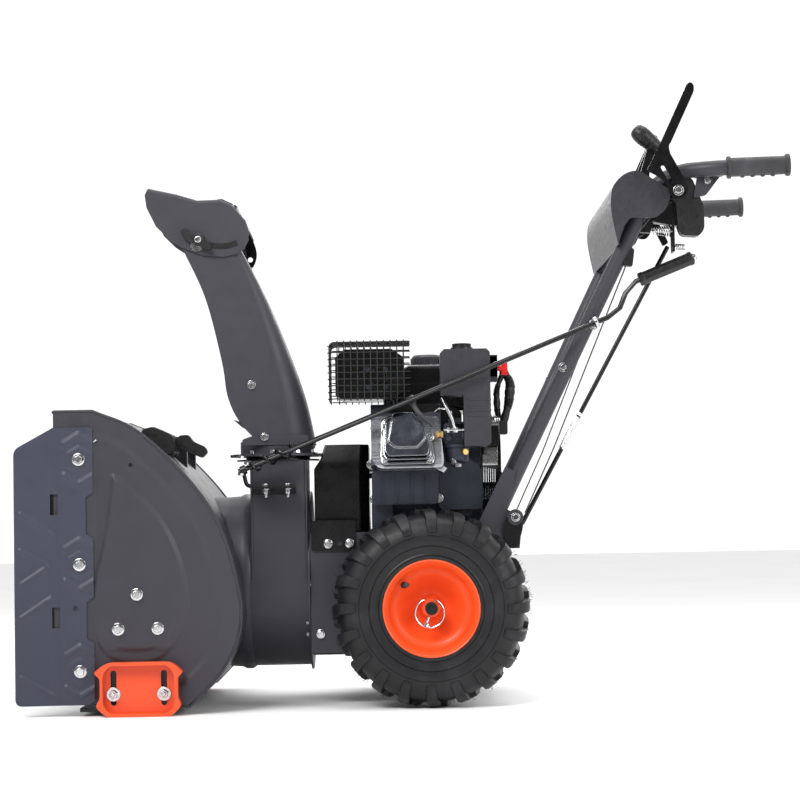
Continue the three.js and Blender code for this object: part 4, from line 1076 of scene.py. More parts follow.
def deflector_knob():
    """A two-armed plastic knob on the bolt in the hood's slot."""
    low, high = node_box("deflector_knob")
    middle = (low + high) / 2
    near = middle.y < CHUTE_Y
    sign = -1 if near else 1
    face = CHUTE_Y + sign * (HOOD_HALF + 0.6)
    form = Form()
    arm = [
        (-30, 17), (-22, 20), (-8, 10), (6, 8), (20, -7), (24, -17), (12, -19), (0, -9), (-12, -6), (-28, 8)
    ]
    form.plate([(middle.x + x, middle.z + z) for x, z in arm], 6, face + sign * 5, face + sign * 13)
    form.lathe((middle.x, face, middle.z), (0, sign, 0), [(0, 11), (3, 12), (12, 11), (14, 9)], 28)
    piece("deflector_knob_arms", form, "black_plastic", "deflector_knob", bevel=1.2, segments=3)
    bolt = Form()
    bolt.lathe(
        (middle.x, face + sign * 13, middle.z), (0, sign, 0), [(0, 6), (2.4, 6), (3.4, 4.8), (3.6, 1)], 24
    )
    bolt.lathe((middle.x + 13, face, middle.z - 8), (0, sign, 0), [(0, 7), (6, 7)], 6)
    bolt.lathe((middle.x - 3, face, middle.z - 8), (0, sign, 0), [(0, 11), (2.4, 11)], 28)
    piece("deflector_knob_bolt", bolt, "zinc_steel", body="deflector_knob", bevel=0.4)


# ---- bent bars


def bent(corners, reach, steps=6):
    """Straight stretches joined by smooth bends that start `reach` before each corner."""
    points = [Vector(c) for c in corners]
    path = [points[0]]
    for a, b, c in zip(points, points[1:], points[2:]):
        before = b + (a - b).normalized() * min(reach, (a - b).length * 0.45)
        after = b + (c - b).normalized() * min(reach, (c - b).length * 0.45)
        for k in range(steps + 1):
            t = k / steps
            path.append(before * (1 - t) ** 2 + b * 2 * t * (1 - t) + after * t * t)
    return path + [points[-1]]


def scaled(outline, factor):
    """The outline drawn in towards its middle."""
    middle = (sum(p[0] for p in outline) / len(outline), sum(p[1] for p in outline) / len(outline))
    return [
        (middle[0] + (u - middle[0]) * factor, middle[1] + (v - middle[1]) * factor) for u, v in outline
    ]


# ---- neck, drum and worm carrier

DRUM_Z = 210.0
DRUM_BOLT_CIRCLE = 157.0
STACK_NEAR = -147.0


def drum():
    """The impeller drum with its front ring, its seams and its bolts."""
    refined("impeller_drum", bevel=1.0)
    form = Form()
    ring = [(-348, 149), (-330, 150.5), (-323, 154), (-313, 154), (-307, 150.5), (-307, 149), (-348, 147.6)]
    form.ring((0, 0, DRUM_Z), REARWARDS, ring, 96)
    form.tube([(-304, STACK_NEAR - 0.6, DRUM_Z), (-208, STACK_NEAR - 0.6, DRUM_Z)], 1.5, 8)
    for x in (-303, -210):
        form.tube([(x, STACK_NEAR, 214), (x, STACK_NEAR, 418)], 2.2, 8)
    piece("drum_seams", form, "body_paint", smooth=50)
    bolts = Form()
    for x, z in ((-199, 272), (-199, 207.5), (-198, 142), (-191, 122)):
        spread = math.sqrt(DRUM_BOLT_CIRCLE**2 - (z - DRUM_Z) ** 2) - 14
        hex_head(bolts, (-209, -spread, z), FORWARDS, 10, 5)
        hex_head(bolts, (-205, -spread, z), REARWARDS, 10, 5, washer=7, stud=5)
    piece("drum_bolts", bolts, "zinc_steel", bevel=0.3)


def worm_carrier():
    """A small angle on the stack and the bent rod that carries the front end of the crank."""
    form = Form()
    form.block((-302, -208, 371), (-227, STACK_NEAR, 374))
    form.block((-302, STACK_NEAR - 2.6, 360), (-227, STACK_NEAR, 374))
    form.tube(bent([(-298, -186, 374), (-309, -186, 377), (-314, -186, 400)], 6), 3.6, 10)
    form.lathe((-318, -186, 401), (0.929, -0.032, 0.3686), [(0, 8), (9, 8)], 20)
    piece("worm_carrier", form, "black_paint", "worm_bracket", bevel=0.4)
    bolts = Form()
    for x in (-277, -239.5):
        hex_head(bolts, (x, -178, 371), DOWN, 12, 7, washer=8, stud=7)
        hex_head(bolts, (x, -178, 374), UP, 12, 5)
    for x, z in ((-319, 394), (-308, 412), (-318, 423)):
        bolts.lathe((x, -192, z), (0.3, -0.2, 1), [(0, 5.5), (5, 5.5)], 6)
    piece("worm_bolts", bolts, "zinc_steel", bevel=0.3)


def chassis_parts():
    """The frame box, the belt cover and the small plate beside it."""
    refined("chassis", bevel=1.2)
    plan = [(-1, -1), (0.65, -1), (1, -0.86), (1, 0.86), (0.65, 1), (-1, 1)]
    rows = []
    for z, front, half in ((294, -197, 110), (404, -197, 110), (420, -186, 108), (446, -178, 100)):
        middle, reach = (front - 102) / 2, (-102 - front) / 2
        rows.append([(middle + u * reach, v * half, z) for u, v in plan])
    cover = Form().skin(rows)
    piece(
        "belt_cover_shell", cover, "black_paint", "belt_cover", bevel=2.5, segments=3,
        angle=20
    )
    plates = Form()
    plates.plate(rectangle(-202, 262, -126, 315), 5, -153, -150.3, [circle((-154, 275.5), 4.5, 16)])
    piece("belt_plate", plates, "black_paint", bevel=0.6)
    spots = [(-173, -153, 275), (-136, -153, 275), (-188, -150, 122)]
    bolt_group("chassis_bolts", spots, LEFTWARDS, 11, 5, 0.4, flange=8)


# ---- engine

BARREL = Matrix.Translation((0, 0, 400)) @ Matrix.Rotation(math.radians(-20), 4, "X")
COVER_RIM = [(-80, 25), (-66, 33), (-23, 35), (-8, 16), (9, -18), (13, -46), (7, -57), (-75, -58),
             (-82, -47), (-81, -18)]
COVER_PANEL = [(-60, 31), (-24, 31), (-7, 4), (-3, -18), (-17, -35), (-55, -35), (-69, -24), (-65, -3)]


def valve_cover():
    """A pressed cover in three rising steps with a raised panel, four bolts in its corners."""
    rim = rounded(COVER_RIM, 8, 4)
    rows = []
    for out, size in ((174.6, 1), (178.5, 1), (180, 0.975), (180.2, 0.93), (188, 0.905), (190, 0.88),
                      (190.2, 0.84), (196, 0.815), (198, 0.79)):
        rows.append([(x, -out, z) for x, z in scaled(rim, size)])
    form = Form().skin(rows)
    panel = rounded(COVER_PANEL, 5, 4)
    form.skin(
        [
            [(x, -out, z) for x, z in scaled(panel, size)]
            for out, size in ((196, 1), (199.5, 0.985), (201.6, 0.94))
        ]
    )
    form = form.moved(BARREL)
    piece("valve_cover_shell", form, "chrome_cover", "valve_cover", bevel=0.7, smooth=40)
    bolts = Form()
    for x, z in ((-70, 20), (3.6, -8), (-73, -50), (2.4, -50)):
        hex_head(bolts, (x, -180.2, z), LEFTWARDS, 10, 6, flange=7.5)
    piece("valve_cover_bolts", bolts.moved(BARREL), "zinc_steel", bevel=0.4)
    flange = Form()
    outline = rounded([(-97, 34), (-97, -46), (-84, -62), (24, -62), (27, -50), (20, 34)], 9, 4)
    for out, size in ((158, 1.0), (163.5, 0.965), (169, 1.0)):
        flange.slab(scaled(outline, size), -out - 5, -out)
    flange.slab([(4, -58), (26, -70), (32, -62), (14, -50)], -171, -166)
    piece("head_flange", flange.moved(BARREL), "bare_aluminium", bevel=1.0)
    fins = Form()
    for i in range(7):
        out = 92 + 9 * i
        fins.plate(rectangle(-96, -50, 16, 50), 8, -out - 2.6, -out)
    piece("cylinder_fins", fins.moved(BARREL), "cast_metal", bevel=0.6)


def crankcase():
    """The block with its ribs and lugs, the shroud above it and the spark plug lead."""
    refined("engine_block", bevel=3.0, segments=3)
    form = Form()
    form.plate(rectangle(-97, 340, 17, 399), 8, -150, -88)
    form.plate([(18, 330), (94, 330), (94, 398), (60, 430), (18, 430)], 10, -112, -84)
    form.plate(rectangle(-98, 296, -62, 345), 5, -128, -90)
    for x in (-80, -55, -30, -5):
        form.slab([(x, 342), (x + 3, 342), (x + 3, 397), (x, 397)], -152.5, -149)
    piece("crankcase_ribs", form, "cast_metal", bevel=2.2, segments=3)
    shroud = Form()
    shroud.plate([(-100, 470), (-60, 512), (22, 512), (22, 425), (10, 500), (-90, 470)], 6, -150, -60)
    shroud.plate([(-12, 430), (60, 430), (60, 500), (22, 516), (-12, 506)], 8, -116, -62)
    piece("engine_shroud", shroud, "black_paint", bevel=2.0)
    lead = Form()
    lead.tube(bent([(-26, -168, 520), (-24, -196, 507), (-14, -203, 492), (8, -196, 474)], 9), 4.2, 12)
    lead.tube([(-26, -168, 520), (-25, -186, 513)], 7, 14)
    piece("plug_lead", lead, "grip_rubber")
    spots = [(-98, -120, 410), (-94, -120, 350), (18, -120, 350)]
    bolt_group("crankcase_bolts", spots, LEFTWARDS, 11, 6, 0.4, washer=8)


GUARD_WIRE = 1.15
GUARD_LOW = (-166.0, -184.0, 518.0)
GUARD_HIGH = (-30.0, -52.0, 618.0)
GUARD_PITCH = 11.3


def wire_guard():
    """Welded wire cloth bent round the muffler: hoops each way, with cut ends standing out."""
    (x0, y0, z0), (x1, y1, z1) = GUARD_LOW, GUARD_HIGH
    wires = Form()
    z = z0 + 3
    while z < z1:
        path = bent([(x1 + 2, y1, z), (x0, y1, z), (x0, y0, z), (x1 + 2, y0, z)], 14, 5)
        wires.tube(path, GUARD_WIRE, 6)
        wires.tube([(x0 - 3, y0 + 12, z), (x0 + 1, y0 + 12, z)], GUARD_WIRE, 6)
        z += GUARD_PITCH
    x = x0 + 14
    while x <= x1:
        path = bent([(x, y1, z0 - 1), (x, y1, z1), (x, y0, z1), (x, y0, z0 - 1)], 14, 5)
        wires.tube(path, GUARD_WIRE, 6)
        wires.tube([(x, y0 + 10, z1 - 1), (x, y0 + 10, z1 + 3)], GUARD_WIRE, 6)
        x += GUARD_PITCH
    y = y0 + 8
    while y < y1:
        wires.tube(bent([(x0, y, z0 - 1), (x0, y, z1), (x1 + 2, y, z1)], 10, 5), GUARD_WIRE, 6)
        y += GUARD_PITCH
    piece("guard_mesh", wires, "black_paint", "muffler_guard")


def muffler():
    """The muffler box with its port and screws."""
    face = node_box("muffler")[0].y
    refined("muffler", bevel=7, segments=4)
    port = Form()
    port.ring((-82, face, 558), LEFTWARDS, [(-2, 12), (5, 12), (7, 13.5), (5, 16.5), (-2, 17)], 36)
    port.plate(rectangle(-106, 534, -64, 577), 7, face - 2, face + 1)
    piece("muffler_port", port, "black_paint", bevel=0.8)
    spots = [(x, face - 2, z) for x, z in ((-100.7, 570.7), (-70.4, 570), (-100, 540), (-70.4, 540.4))]
    bolt_group("muffler_screws", spots, LEFTWARDS, 8, 4, 0.3, "cast_metal", "black_paint", flange=5)


FUEL_CAP_AT = (4, 44)
CHOKE_AT = (61, -150)


def flutes(form, spots, base, radius, height):
    """Thin upright rods, as the grip round a cap or a knob."""
    for x, y in spots:
        form.lathe((x, y, base), UP, [(0, radius), (height, radius)], 8)


def tank_parts():
    """The fuel tank with its seam, and its fluted cap."""
    low, high = node_box("fuel_tank")
    refined("fuel_tank", bevel=11, segments=5)
    seam = Form()
    outline = rounded(rectangle(low.x, low.y, high.x, high.y), 14)
    seam.slab(scaled(outline, 1.012), 551, 554, level=True)
    seam.lathe((*FUEL_CAP_AT, high.z - 3), UP, [(0, 36), (4, 34), (5, 30)], 48)
    piece("tank_seam", seam, "black_paint", bevel=0.8)
    low, high = node_box("fuel_cap")
    tall = high.z - low.z
    cap = Form().lathe(
        (*FUEL_CAP_AT, low.z), UP, [(0, 27), (3, 28), (tall - 5, 28), (tall - 1, 24), (tall, 18)], 64
    )
    flutes(cap, circle(FUEL_CAP_AT, 28.2, 36), low.z + 2, 1.6, tall - 9)
    piece("fuel_cap_ribbed", cap, "grey_plastic", "fuel_cap", bevel=0.6)


def heater_box():
    """The ribbed plastic box over the carburettor, with the choke knob on top."""
    low, high = node_box("heater_box")
    refined("heater_box", bevel=5.5, segments=4, angle=25)
    ribs = Form()
    for front, out, half, heights in (
        (low.x - 0.8, 0.8, 1, (550, 548)), (63, 0.9, 1.6, (516, 507, 498, 489))
    ):
        outline = rounded(rectangle(front, low.y - out, 108 + out, high.y), 6)
        for z in heights:
            ribs.slab(outline, z - half, z + half, level=True)
    ribs.plate(rectangle(106, 548, 122, 592), 3, -150, -126)
    piece("heater_ribs", ribs, "grey_plastic", bevel=1.0)
    low, high = node_box("choke_knob")
    knob = Form().lathe((*CHOKE_AT, low.z - 1), UP, [(0, 19), (5, 19), (6, 15), (11, 15), (12, 13)], 48)
    flutes(knob, circle(CHOKE_AT, 15, 24), low.z + 5, 1.3, 5.5)
    piece("choke_knob_ribbed", knob, "black_plastic", "choke_knob", bevel=0.5)


LINK_Y, LINK_Z = -178, 465


def carburettor():
    """The bowl and throat, the governor links, the brass fittings and the hose."""
    form = Form()
    form.plate([(30, 441), (62, 441), (58, 462), (46, 478), (28, 478), (26, 452)], 5, -160, -122)
    bowl = [(0, 10), (3, 17), (6, 19.5), (27, 20.5), (28, 24), (33, 24), (34, 18)]
    form.lathe((50, -148, 408), UP, bowl, 48)
    form.lathe((36, -160, 452), LEFTWARDS, [(0, 7), (6, 7), (8, 5)], 24)
    form.plate(rectangle(36, 476, 58, 486), 3, -156, -128)
    piece("carburettor_body", form, "cast_metal", "carburettor", bevel=1.2)
    links = Form()
    links.tube([(28, LINK_Y, LINK_Z), (90, LINK_Y, LINK_Z)], 2.2, 12)
    links.lathe((84, LINK_Y, LINK_Z), REARWARDS, [(-8, 4), (0, 5), (8, 3), (13, 0.6)], 20)
    for x in (33, 47, 66):
        links.lathe((x, LINK_Y, LINK_Z), REARWARDS, [(0, 5), (4, 5)], 6)
    links.tube(bent([(40, -165, 498), (44, -170, 478), (48, -176, 466)], 6), 1.6, 8)
    links.tube(bent([(12, -166, 497), (20, -172, 503), (34, -168, 500)], 5), 1.4, 8)
    hex_head(links, (50, -148, 408), DOWN, 12, 6)
    hex_head(links, (44, -164, 413), (-0.3, -0.85, -0.42), 10, 5)
    piece("throttle_links", links, "zinc_steel", bevel=0.2)
    plug = [(0, 4), (2, 6), (5, 6), (6, 4), (9, 4), (10, 6), (13, 6), (14, 3)]
    brass = Form().lathe((13, -168, 458), REARWARDS, plug, 6)
    brass.lathe((62, -166, 428), (0.4, -0.9, 0), [(0, 6), (6, 6), (7, 4)], 6)
    piece("fuel_fitting", brass, BRASS, bevel=0.3)
    hose = Form().tube(
        bent([(26, -160, 520), (32, -170, 505), (44, -172, 480), (46, -168, 462)], 10), 3.4, 12
    )
    piece("fuel_hose", hose, GREY_COIL)


CRANKSHAFT_Z = 410
STARTER_RADIUS = 88.0


def recoil():
    """The starter with its band, its louvres, the rope guide and the pull handle."""
    refined("recoil_starter", bevel=5, segments=4)

    def on_rim(x, z, out):
        """A point a little outside the starter's round casing, on its left."""
        return (x, -math.sqrt(STARTER_RADIUS**2 - (z - CRANKSHAFT_Z) ** 2) - out, z)

    band = Form()
    rows = [
        [on_rim(96, z, 1.2), on_rim(122, z, 1.2), on_rim(122, z, -2), on_rim(96, z, -2)]
        for z in range(406, 441, 4)
    ]
    band.skin(rows)
    piece("starter_band", band, "zinc_steel", bevel=0.5)
    vents = Form()
    for top, bottom in ((403, 377), (371, 348)):
        for i in range(6):
            x = 97 + 3.9 * i
            vents.tube([on_rim(x, z, 0.4) for z in np.linspace(top - i * 0.8, bottom, 6)], 1.15, 6)
    piece("starter_vents", vents, "zinc_steel")
    guide = Form().tube(helix((109, -112, 484), (126, -112, 484), 6.5, 5), 1.3, 6)
    piece("rope_guide", guide, "zinc_steel")
    grip = Form()
    back = bent([(131, -112, 474), (122, -112, 494), (121, -112, 536), (134, -112, 568)], 10, 8)
    front = bent([(134, -112, 568), (146, -112, 548), (142, -112, 512), (131, -112, 474)], 10, 8)
    for path, thick in ((back, 5.4), (front, 8.2)):

        def moulded_radius(t, thick=thick):
            return thick * (0.8 + 0.25 * math.sin(math.pi * t)) + 0.5 * math.sin(t * 130)

        grip.tube(curve(path, 8), moulded_radius, 16)
    grip.plate(rectangle(125, 458, 139, 482), 4, -119, -105)
    grip.plate(rectangle(127, 558, 141, 576), 5, -119, -105)
    piece("pull_handle_moulded", grip, "black_plastic", "pull_handle", bevel=1.2)


TOOL_AT = (-433.0, 455.0)
TOOL_HEAD = [(-483, 474), (-464, 478), (-434, 464), (-430, 434), (-444, 431), (-484, 460)]
TOOL_CLIP = [(-430, 466), (-412, 467), (-404, 455), (-384, 446), (-379, 436), (-389, 426), (-430, 444)]


def clean_out_tool():
    """A ribbed scoop with a clip, on a round stick with a ribbed end."""
    form = Form()
    form.plate(TOOL_HEAD, 5, -200, -112)
    for i in range(9):
        form.slab(scaled(rounded(TOOL_HEAD, 5), 1.05), -197 + 10 * i, -194 + 10 * i)
    form.lathe((TOOL_AT[0], -120, TOOL_AT[1]), RIGHTWARDS, [(0, 9), (262, 9), (268, 8), (270, 5)], 24)
    for i in range(14):
        form.lathe((TOOL_AT[0], 60 + 6 * i, TOOL_AT[1]), RIGHTWARDS, [(0, 9), (1, 10), (3, 10), (4, 9)], 24)
    form.plate(TOOL_CLIP, 5, -118, -98)
    piece("tool_moulded", form, "black_plastic", "clean_out_tool", bevel=1.4)


# ---- handles and controls

TUBE_RADIUS = 13.0
HANDLE_ROUTE = [(86, 133.7, 257), (157.4, 133.7, 402), (388, 217, 870), (430, 233, 893), (484, 264, 892.5),
                (604, 265, 896)]
CABLE_ROUTE = [(418, 232, 842), (392, 224, 830), (352, 196, 782), (343, 190, 741), (216, 160, 434),
               (163.5, 163, 322)]
LEVER_BOX = [(429, 858), (416, 862), (412, 848), (424, 840), (426, 800), (432, 784), (462, 782), (471, 794),
             (471, 832), (452, 880), (440, 884)]
LEVER_PIVOT = (423.0, 854.0)
LEVER_LUG = [(411, 847), (434, 845), (437, 858), (430, 886), (404, 876)]
CRANK_START = Vector((-322, -186, 400))
CRANK_EYE = Vector((288, -207, 642))
LEVER_ARM = [(437, 848), (441, 858), (436, 870), (410, 918), (409, 930), (453, 1020), (453, 1031),
             (447, 1036), (441, 1032), (394, 932), (371, 888), (388, 879), (405, 866), (407, 852),
             (415, 840), (429, 839)]
LEVER_FACE = 282.3


def clutch_lever(side):
    """A flat arm beside the handle whose upper end is folded into a paddle over the grip."""
    sign = SIDES[side]
    form = Form()
    slot = oblong((398, 893), (411, 870), 3.2)
    form.plate(LEVER_ARM, 6, *sorted((sign * LEVER_FACE, sign * (LEVER_FACE - 3))), [slot])
    paddle = [(400, 934), (411, 931), (453, 1020), (453, 1031), (447, 1036), (441, 1032)]
    form.plate(paddle, 4, *sorted((sign * 250, sign * (LEVER_FACE - 2))))
    piece(f"{side}_lever_arm", form, "black_paint", f"{side}_clutch_lever", bevel=1.1)


def handle(side):
    """A handle tube with its grip, its lever, its cable and the cable pulley."""
    sign = SIDES[side]
    route = [(x, sign * y, z) for x, y, z in HANDLE_ROUTE]
    tube = Form().tube(bent(route, 26, 8), TUBE_RADIUS, 32)
    piece(f"{side}_handle_tube", tube, "body_paint", f"{side}_handle")
    lug = Form()
    outer = sorted((sign * 226, sign * 240))
    lug.plate(LEVER_LUG, 4, *outer)
    lug.lathe((LEVER_PIVOT[0], sign * 230, LEVER_PIVOT[1]), (0, sign, 0), [(0, 7), (48, 7)], 20)
    piece(f"{side}_lever_lug", lug, "black_paint", bevel=1.0)
    bolts = Form()
    hex_head(bolts, (LEVER_PIVOT[0], sign * 282.4, LEVER_PIVOT[1]), (0, sign, 0), 11, 4, washer=9)
    hex_head(bolts, (233, sign * (217 - (388 - 233) * 0.361 + 12.5), 569), (0, sign, 0), 10, 4, washer=8)
    piece(f"{side}_handle_bolts", bolts, "zinc_steel", bevel=0.3)
    grip = Form()
    profile = [(0, 14.5), (0.5, 18.5), (4, 19), (6, 18.5), (7, 16), (97, 15.5)]
    profile += [(99, 18.5), (103, 19), (105, 18), (105.5, 15)]
    grip.lathe((507, sign * 264.2, 893.2), (120, sign * 0.3, 3.4), profile, 40)
    for x in (532, 549, 566, 583):
        under = 893.2 + (x - 507) * 0.0283 - 13.5
        grip.lathe((x - 4, sign * 264.5, under), REARWARDS, [(0, 1), (2, 4), (5, 5), (8, 4), (10, 1)], 16)
    piece(f"{side}_grip_ribbed", grip, "grip_rubber", f"{side}_grip", bevel=0.4)
    clutch_lever(side)
    cable = [(x, sign * y, z) for x, y, z in CABLE_ROUTE]
    wire = Form().tube(bent(cable, 14), 1.3, 8)
    sheath = Form().tube(bent(cable[:4], 14), 2.2, 10)
    piece(f"{side}_cable_wire", wire, SPRING_STEEL, f"{side}_clutch_cable")
    piece(f"{side}_cable_sheath", sheath, "black_plastic")
    refined(f"{side}_cable_pulley", bevel=1.0, segments=3)
    bolt_group(f"{side}_pulley_bolt", [(147, sign * 168.5, 315)], (0, sign, 0), 11, 5, 0.3, washer=8)
    arm = rounded([(150, 262), (128, 262), (124, 296), (132, 316), (147, 331), (161, 320), (160, 296)], 6)
    plate = Form().slab(arm, *sorted((sign * 154, sign * 156.5)))
    piece(f"{side}_pulley_arm", plate, "black_paint", bevel=0.7)


DASH = [(325, 770), (320, 793), (315, 822), (314, 846), (319, 869), (337, 888), (360, 894), (377, 885),
        (414, 861), (414, 845), (405, 826), (389, 814), (347, 815), (331, 795)]
DASH_HALF = 243.0
DASH_WALL = 3


def dash_panel():
    """A moulded hood between the handles, rounded at its ends and open behind and below."""
    path = flat_path(DASH[:9], 5)
    inner = offset_path(path, -DASH_WALL)
    shell = Form().slab(path + inner[::-1], DASH_WALL - DASH_HALF, DASH_HALF - DASH_WALL)
    obj = piece("dash_shell", shell, "grey_plastic", "dash_panel", bevel=0)
    gap = Form().slab(rectangle(364, 840, 420, 920), -70, -50)
    cut(obj, gap)
    side = path + rounded(DASH[8:], 5)[5:]
    cheeks = Form()
    for y in (-DASH_HALF, DASH_HALF - DASH_WALL):
        cheeks.slab(side, y, y + DASH_WALL)
    piece("dash_cheeks", cheeks, "grey_plastic", bevel=0)


def control_side():
    """What only the near handle carries: the lever box, its gusset and the springs below."""
    box = Form().plate(LEVER_BOX, 7, -240, -212)
    piece("lever_box", box, "black_plastic", bevel=3.0, segments=3)
    gusset = Form().plate([(453, 846), (460, 884), (502, 886), (474, 850)], 4, -244, -241.5)
    gusset.slab([(455, 879), (502, 881), (502, 884), (455, 883)], -256, -241.5)
    piece("lever_gusset", gusset, "body_paint", bevel=0.6)
    plate = Form().plate(rectangle(417.5, 757, 421, 812), 1, -236, -204)
    plate.plate([(386, 808), (430, 800), (432, 850), (400, 862), (380, 840)], 5, -232, -208)
    piece("spring_plate", plate, "black_paint", bevel=0.6)
    coils = Form()
    coils.tube(helix((384, -222, 794), (416, -222, 793), lambda t: 5 + 4.5 * t, 8), 1.2, 6)
    coils.tube(helix((424, -220, 767), (439, -220, 766), 4.6, 6), 1.0, 6)
    coils.tube([(382, -222, 794), (422, -222, 793)], 2, 8)
    hex_head(coils, (476.7, -244, 875), LEFTWARDS, 9, 4, washer=6)
    piece("control_springs", coils, "zinc_steel", bevel=0)
    eye = Form()
    axis = (CRANK_EYE - CRANK_START).normalized()
    eye.ring(CRANK_EYE - axis * 4, axis, [(0, 5.6), (8, 5.6), (8, 8), (6, 10.5), (2, 10.5), (0, 8)], 32)
    eye.tube([CRANK_EYE + Vector((0, 9, 0)), CRANK_EYE + Vector((-3, 27, 0))], 4, 14)
    hex_head(eye, CRANK_EYE + Vector((-3, 11, -3)), LEFTWARDS, 12, 5, washer=9)
    piece("crank_eye", eye, "zinc_steel", bevel=0.3)
    dash_panel()
    under = Form().plate([(336, 738), (352, 736), (356, 766), (342, 772)], 4, -206, -190)
    piece("cable_guide", under, "black_plastic", bevel=1.0)


def shift_control():
    """The shift lever with its knob, and the rod down to the axle."""
    stem = rounded([(397, 958), (413, 953), (400, 914), (409, 846), (402, 833), (392, 838), (382, 908)], 3)
    form = Form().slab(stem, -63, -57)
    form.plate([(394, 842), (408, 842), (431, 792), (421, 786)], 3, -63, -57)
    form.lathe((400, -70, 842), RIGHTWARDS, [(0, 5), (20, 5)], 16)
    piece("shift_stem", form, "black_paint", "shift_lever", bevel=0.8)
    knob = Form()
    shape = [
        (-39, 5), (-37, 10), (-32, 13.5), (-22, 15.5), (-8, 15), (8, 13), (24, 11.5), (33, 11), (37, 9),
        (38, 4)
    ]
    profile = []
    for p in curve([(a, r, 0) for a, r in shape], 6):
        profile.append((p.x, p.y + (0.5 if math.sin(p.x * 1.6) > 0 and p.x > -30 else 0)))
    knob.lathe((404, -60, 970), (0.75, 0, -0.66), profile, 40)
    piece("shift_knob", knob, "black_plastic", body="shift_lever", bevel=0)
    foot, top = Vector((163, -74, 303)), Vector((428, -74, 784))
    along = (top - foot).normalized()
    rod = Form().tube(bent([foot, foot + along * 528, top], 8), 4, 12)
    piece("shift_rod_bar", rod, "black_paint", "shift_rod")
    buckle = Form().lathe(foot + along * 148, along, [(0, 5), (3, 6.5), (60, 6.5), (63, 5)], 6)
    buckle.lathe(foot + along * 213, along, [(0, 6), (6, 6)], 6)
    piece("turnbuckle", buckle, "zinc_steel", body="shift_rod", bevel=0.6)


CRANK_OVERRUN, CRANK_STEP = 95, 38


def crank_parts():
    """The crank with its stepped grip."""
    refined("crank_rod", bevel=0)
    axis = (CRANK_EYE - CRANK_START).normalized()
    reach = (CRANK_EYE - CRANK_START).length
    up = Vector((-axis.z, 0, axis.x)).normalized()
    start = CRANK_START + axis * (reach + CRANK_OVERRUN) + up * CRANK_STEP
    profile = [(0, 10), (1.5, 12.5), (8, 12.5), (9, 11.4), (90, 11.6), (91, 12.5), (96, 12.5), (98, 10)]
    grip = Form().lathe(start, axis, profile, 8, phase=0.4)
    piece("crank_grip_moulded", grip, "black_plastic", "crank_grip", bevel=1.0, smooth=30)
    end = Form()
    end.lathe(start + axis * 98, axis, [(0, 5), (1, 7.5), (4, 7.5), (6, 5), (7, 2)], 20)
    piece("crank_end_nut", end, "zinc_steel", body="crank", bevel=0.3)


# ---- CAD nodes


def finish_frame():
    """Every CAD node without a piece of its own gets a finer copy; all get their procedural finish."""
    replaced = set()
    for obj in bpy.context.scene.objects:
        replaced.update(obj.get("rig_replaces", []))
    for node, obj in frame["nodes"].items():
        obj.data.materials.clear()
        obj.data.materials.append(FINISHES[SLOT_OF[node]])
        if node not in replaced:
            refined(node)


# ---- stage


def area_light(name, position, target, size, power):
    light = bpy.data.lights.new(name, "AREA")
    light.shape = "RECTANGLE"
    light.size, light.size_y = size
    light.energy = power
    obj = bpy.data.objects.new(name, light)
    obj.location = position
    obj.rotation_euler = (Vector(target) - Vector(position)).to_track_quat("-Z", "Y").to_euler()
    bpy.context.scene.collection.objects.link(obj)


ROOM_DARK = 0.15


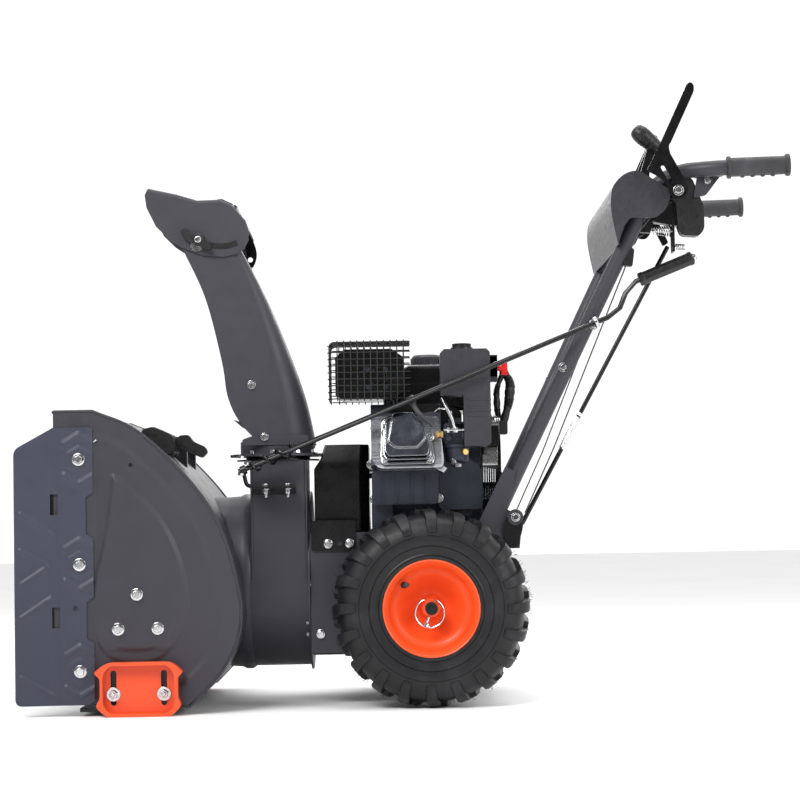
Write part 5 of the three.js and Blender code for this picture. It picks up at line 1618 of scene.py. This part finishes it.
def studio():
    """A pale floor, soft lights above and in front, and a room that is bright behind the machine."""
    mesh = bpy.data.meshes.new("floor")
    reach = 14.0
    mesh.from_pydata(
        [(-reach, -reach, 0), (reach, -reach, 0), (reach, reach, 0), (-reach, reach, 0)], [], [(0, 1, 2, 3)]
    )
    floor = bpy.data.objects.new("floor", mesh)
    bpy.context.scene.collection.objects.link(floor)
    f = Finish("floor", 0.6)
    f.wire(f.ramp(f.noise(2.0), [(0.3, (0.88, 0.88, 0.88)), (0.7, (0.91, 0.91, 0.91))]), "Base Color")
    mesh.materials.append(f.material)
    world = bpy.data.worlds.new("room")
    world.use_nodes = True
    tree = world.node_tree
    background = tree.nodes["Background"]
    direction = tree.nodes.new("ShaderNodeTexCoord")
    axes = tree.nodes.new("ShaderNodeSeparateXYZ")
    fade = tree.nodes.new("ShaderNodeMapRange")
    fade.interpolation_type = "SMOOTHSTEP"
    fade.inputs["From Min"].default_value = -0.97
    fade.inputs["From Max"].default_value = 0.1
    fade.inputs["To Min"].default_value = ROOM_DARK
    fade.inputs["To Max"].default_value = 1.12
    tree.links.new(direction.outputs["Generated"], axes.inputs["Vector"])
    tree.links.new(axes.outputs["Y"], fade.inputs["Value"])
    tree.links.new(fade.outputs["Result"], background.inputs["Strength"])
    background.inputs["Color"].default_value = (1.0, 1.0, 1.0, 1)
    bpy.context.scene.world = world
    middle = (0.0, 0.0, 0.5)
    area_light("key", (-1.6, -2.8, 2.9), middle, (2.2, 1.6), 135)
    area_light("fill", (2.4, -2.4, 1.6), middle, (1.8, 1.8), 50)
    area_light("top", (0.2, 0.3, 3.2), middle, (2.6, 1.8), 45)
    area_light("back", (0.8, 2.8, 2.0), middle, (2.4, 1.6), 35)


LENS = 103.8
CAMERA_AT = (-55.4, -4100.0, 321.0)
PITCH_UP = 2.87
YAW = -0.134
ROLL = -1.0


def camera():
    """The left side, seen level from four metres away."""
    data = bpy.data.cameras.new("camera")
    data.lens = LENS
    data.sensor_width = 36.0
    data.clip_end = 60.0
    obj = bpy.data.objects.new("camera", data)
    turn = Matrix.Rotation(math.radians(YAW), 4, "Z") @ Matrix.Rotation(math.radians(90 + PITCH_UP), 4, "X")
    obj.matrix_world = Matrix.Translation(place(CAMERA_AT)) @ turn @ Matrix.Rotation(
        math.radians(ROLL), 4, "Z"
    )
    bpy.context.scene.collection.objects.link(obj)
    bpy.context.scene.camera = obj
    bpy.context.scene.view_settings.view_transform = "Standard"


camera()
studio()

for side_name in SIDES:
    side_plate(side_name)
    drift_wing(side_name)
    skid_shoe(side_name)
    tyre(side_name)
    rim(side_name)
    handle(side_name)
housing_shell()
drum()
worm_carrier()
chassis_parts()
chute()
deflector()
deflector_knob()
valve_cover()
crankcase()
wire_guard()
muffler()
tank_parts()
heater_box()
carburettor()
recoil()
control_side()
shift_control()
crank_parts()
clean_out_tool()
finish_frame()
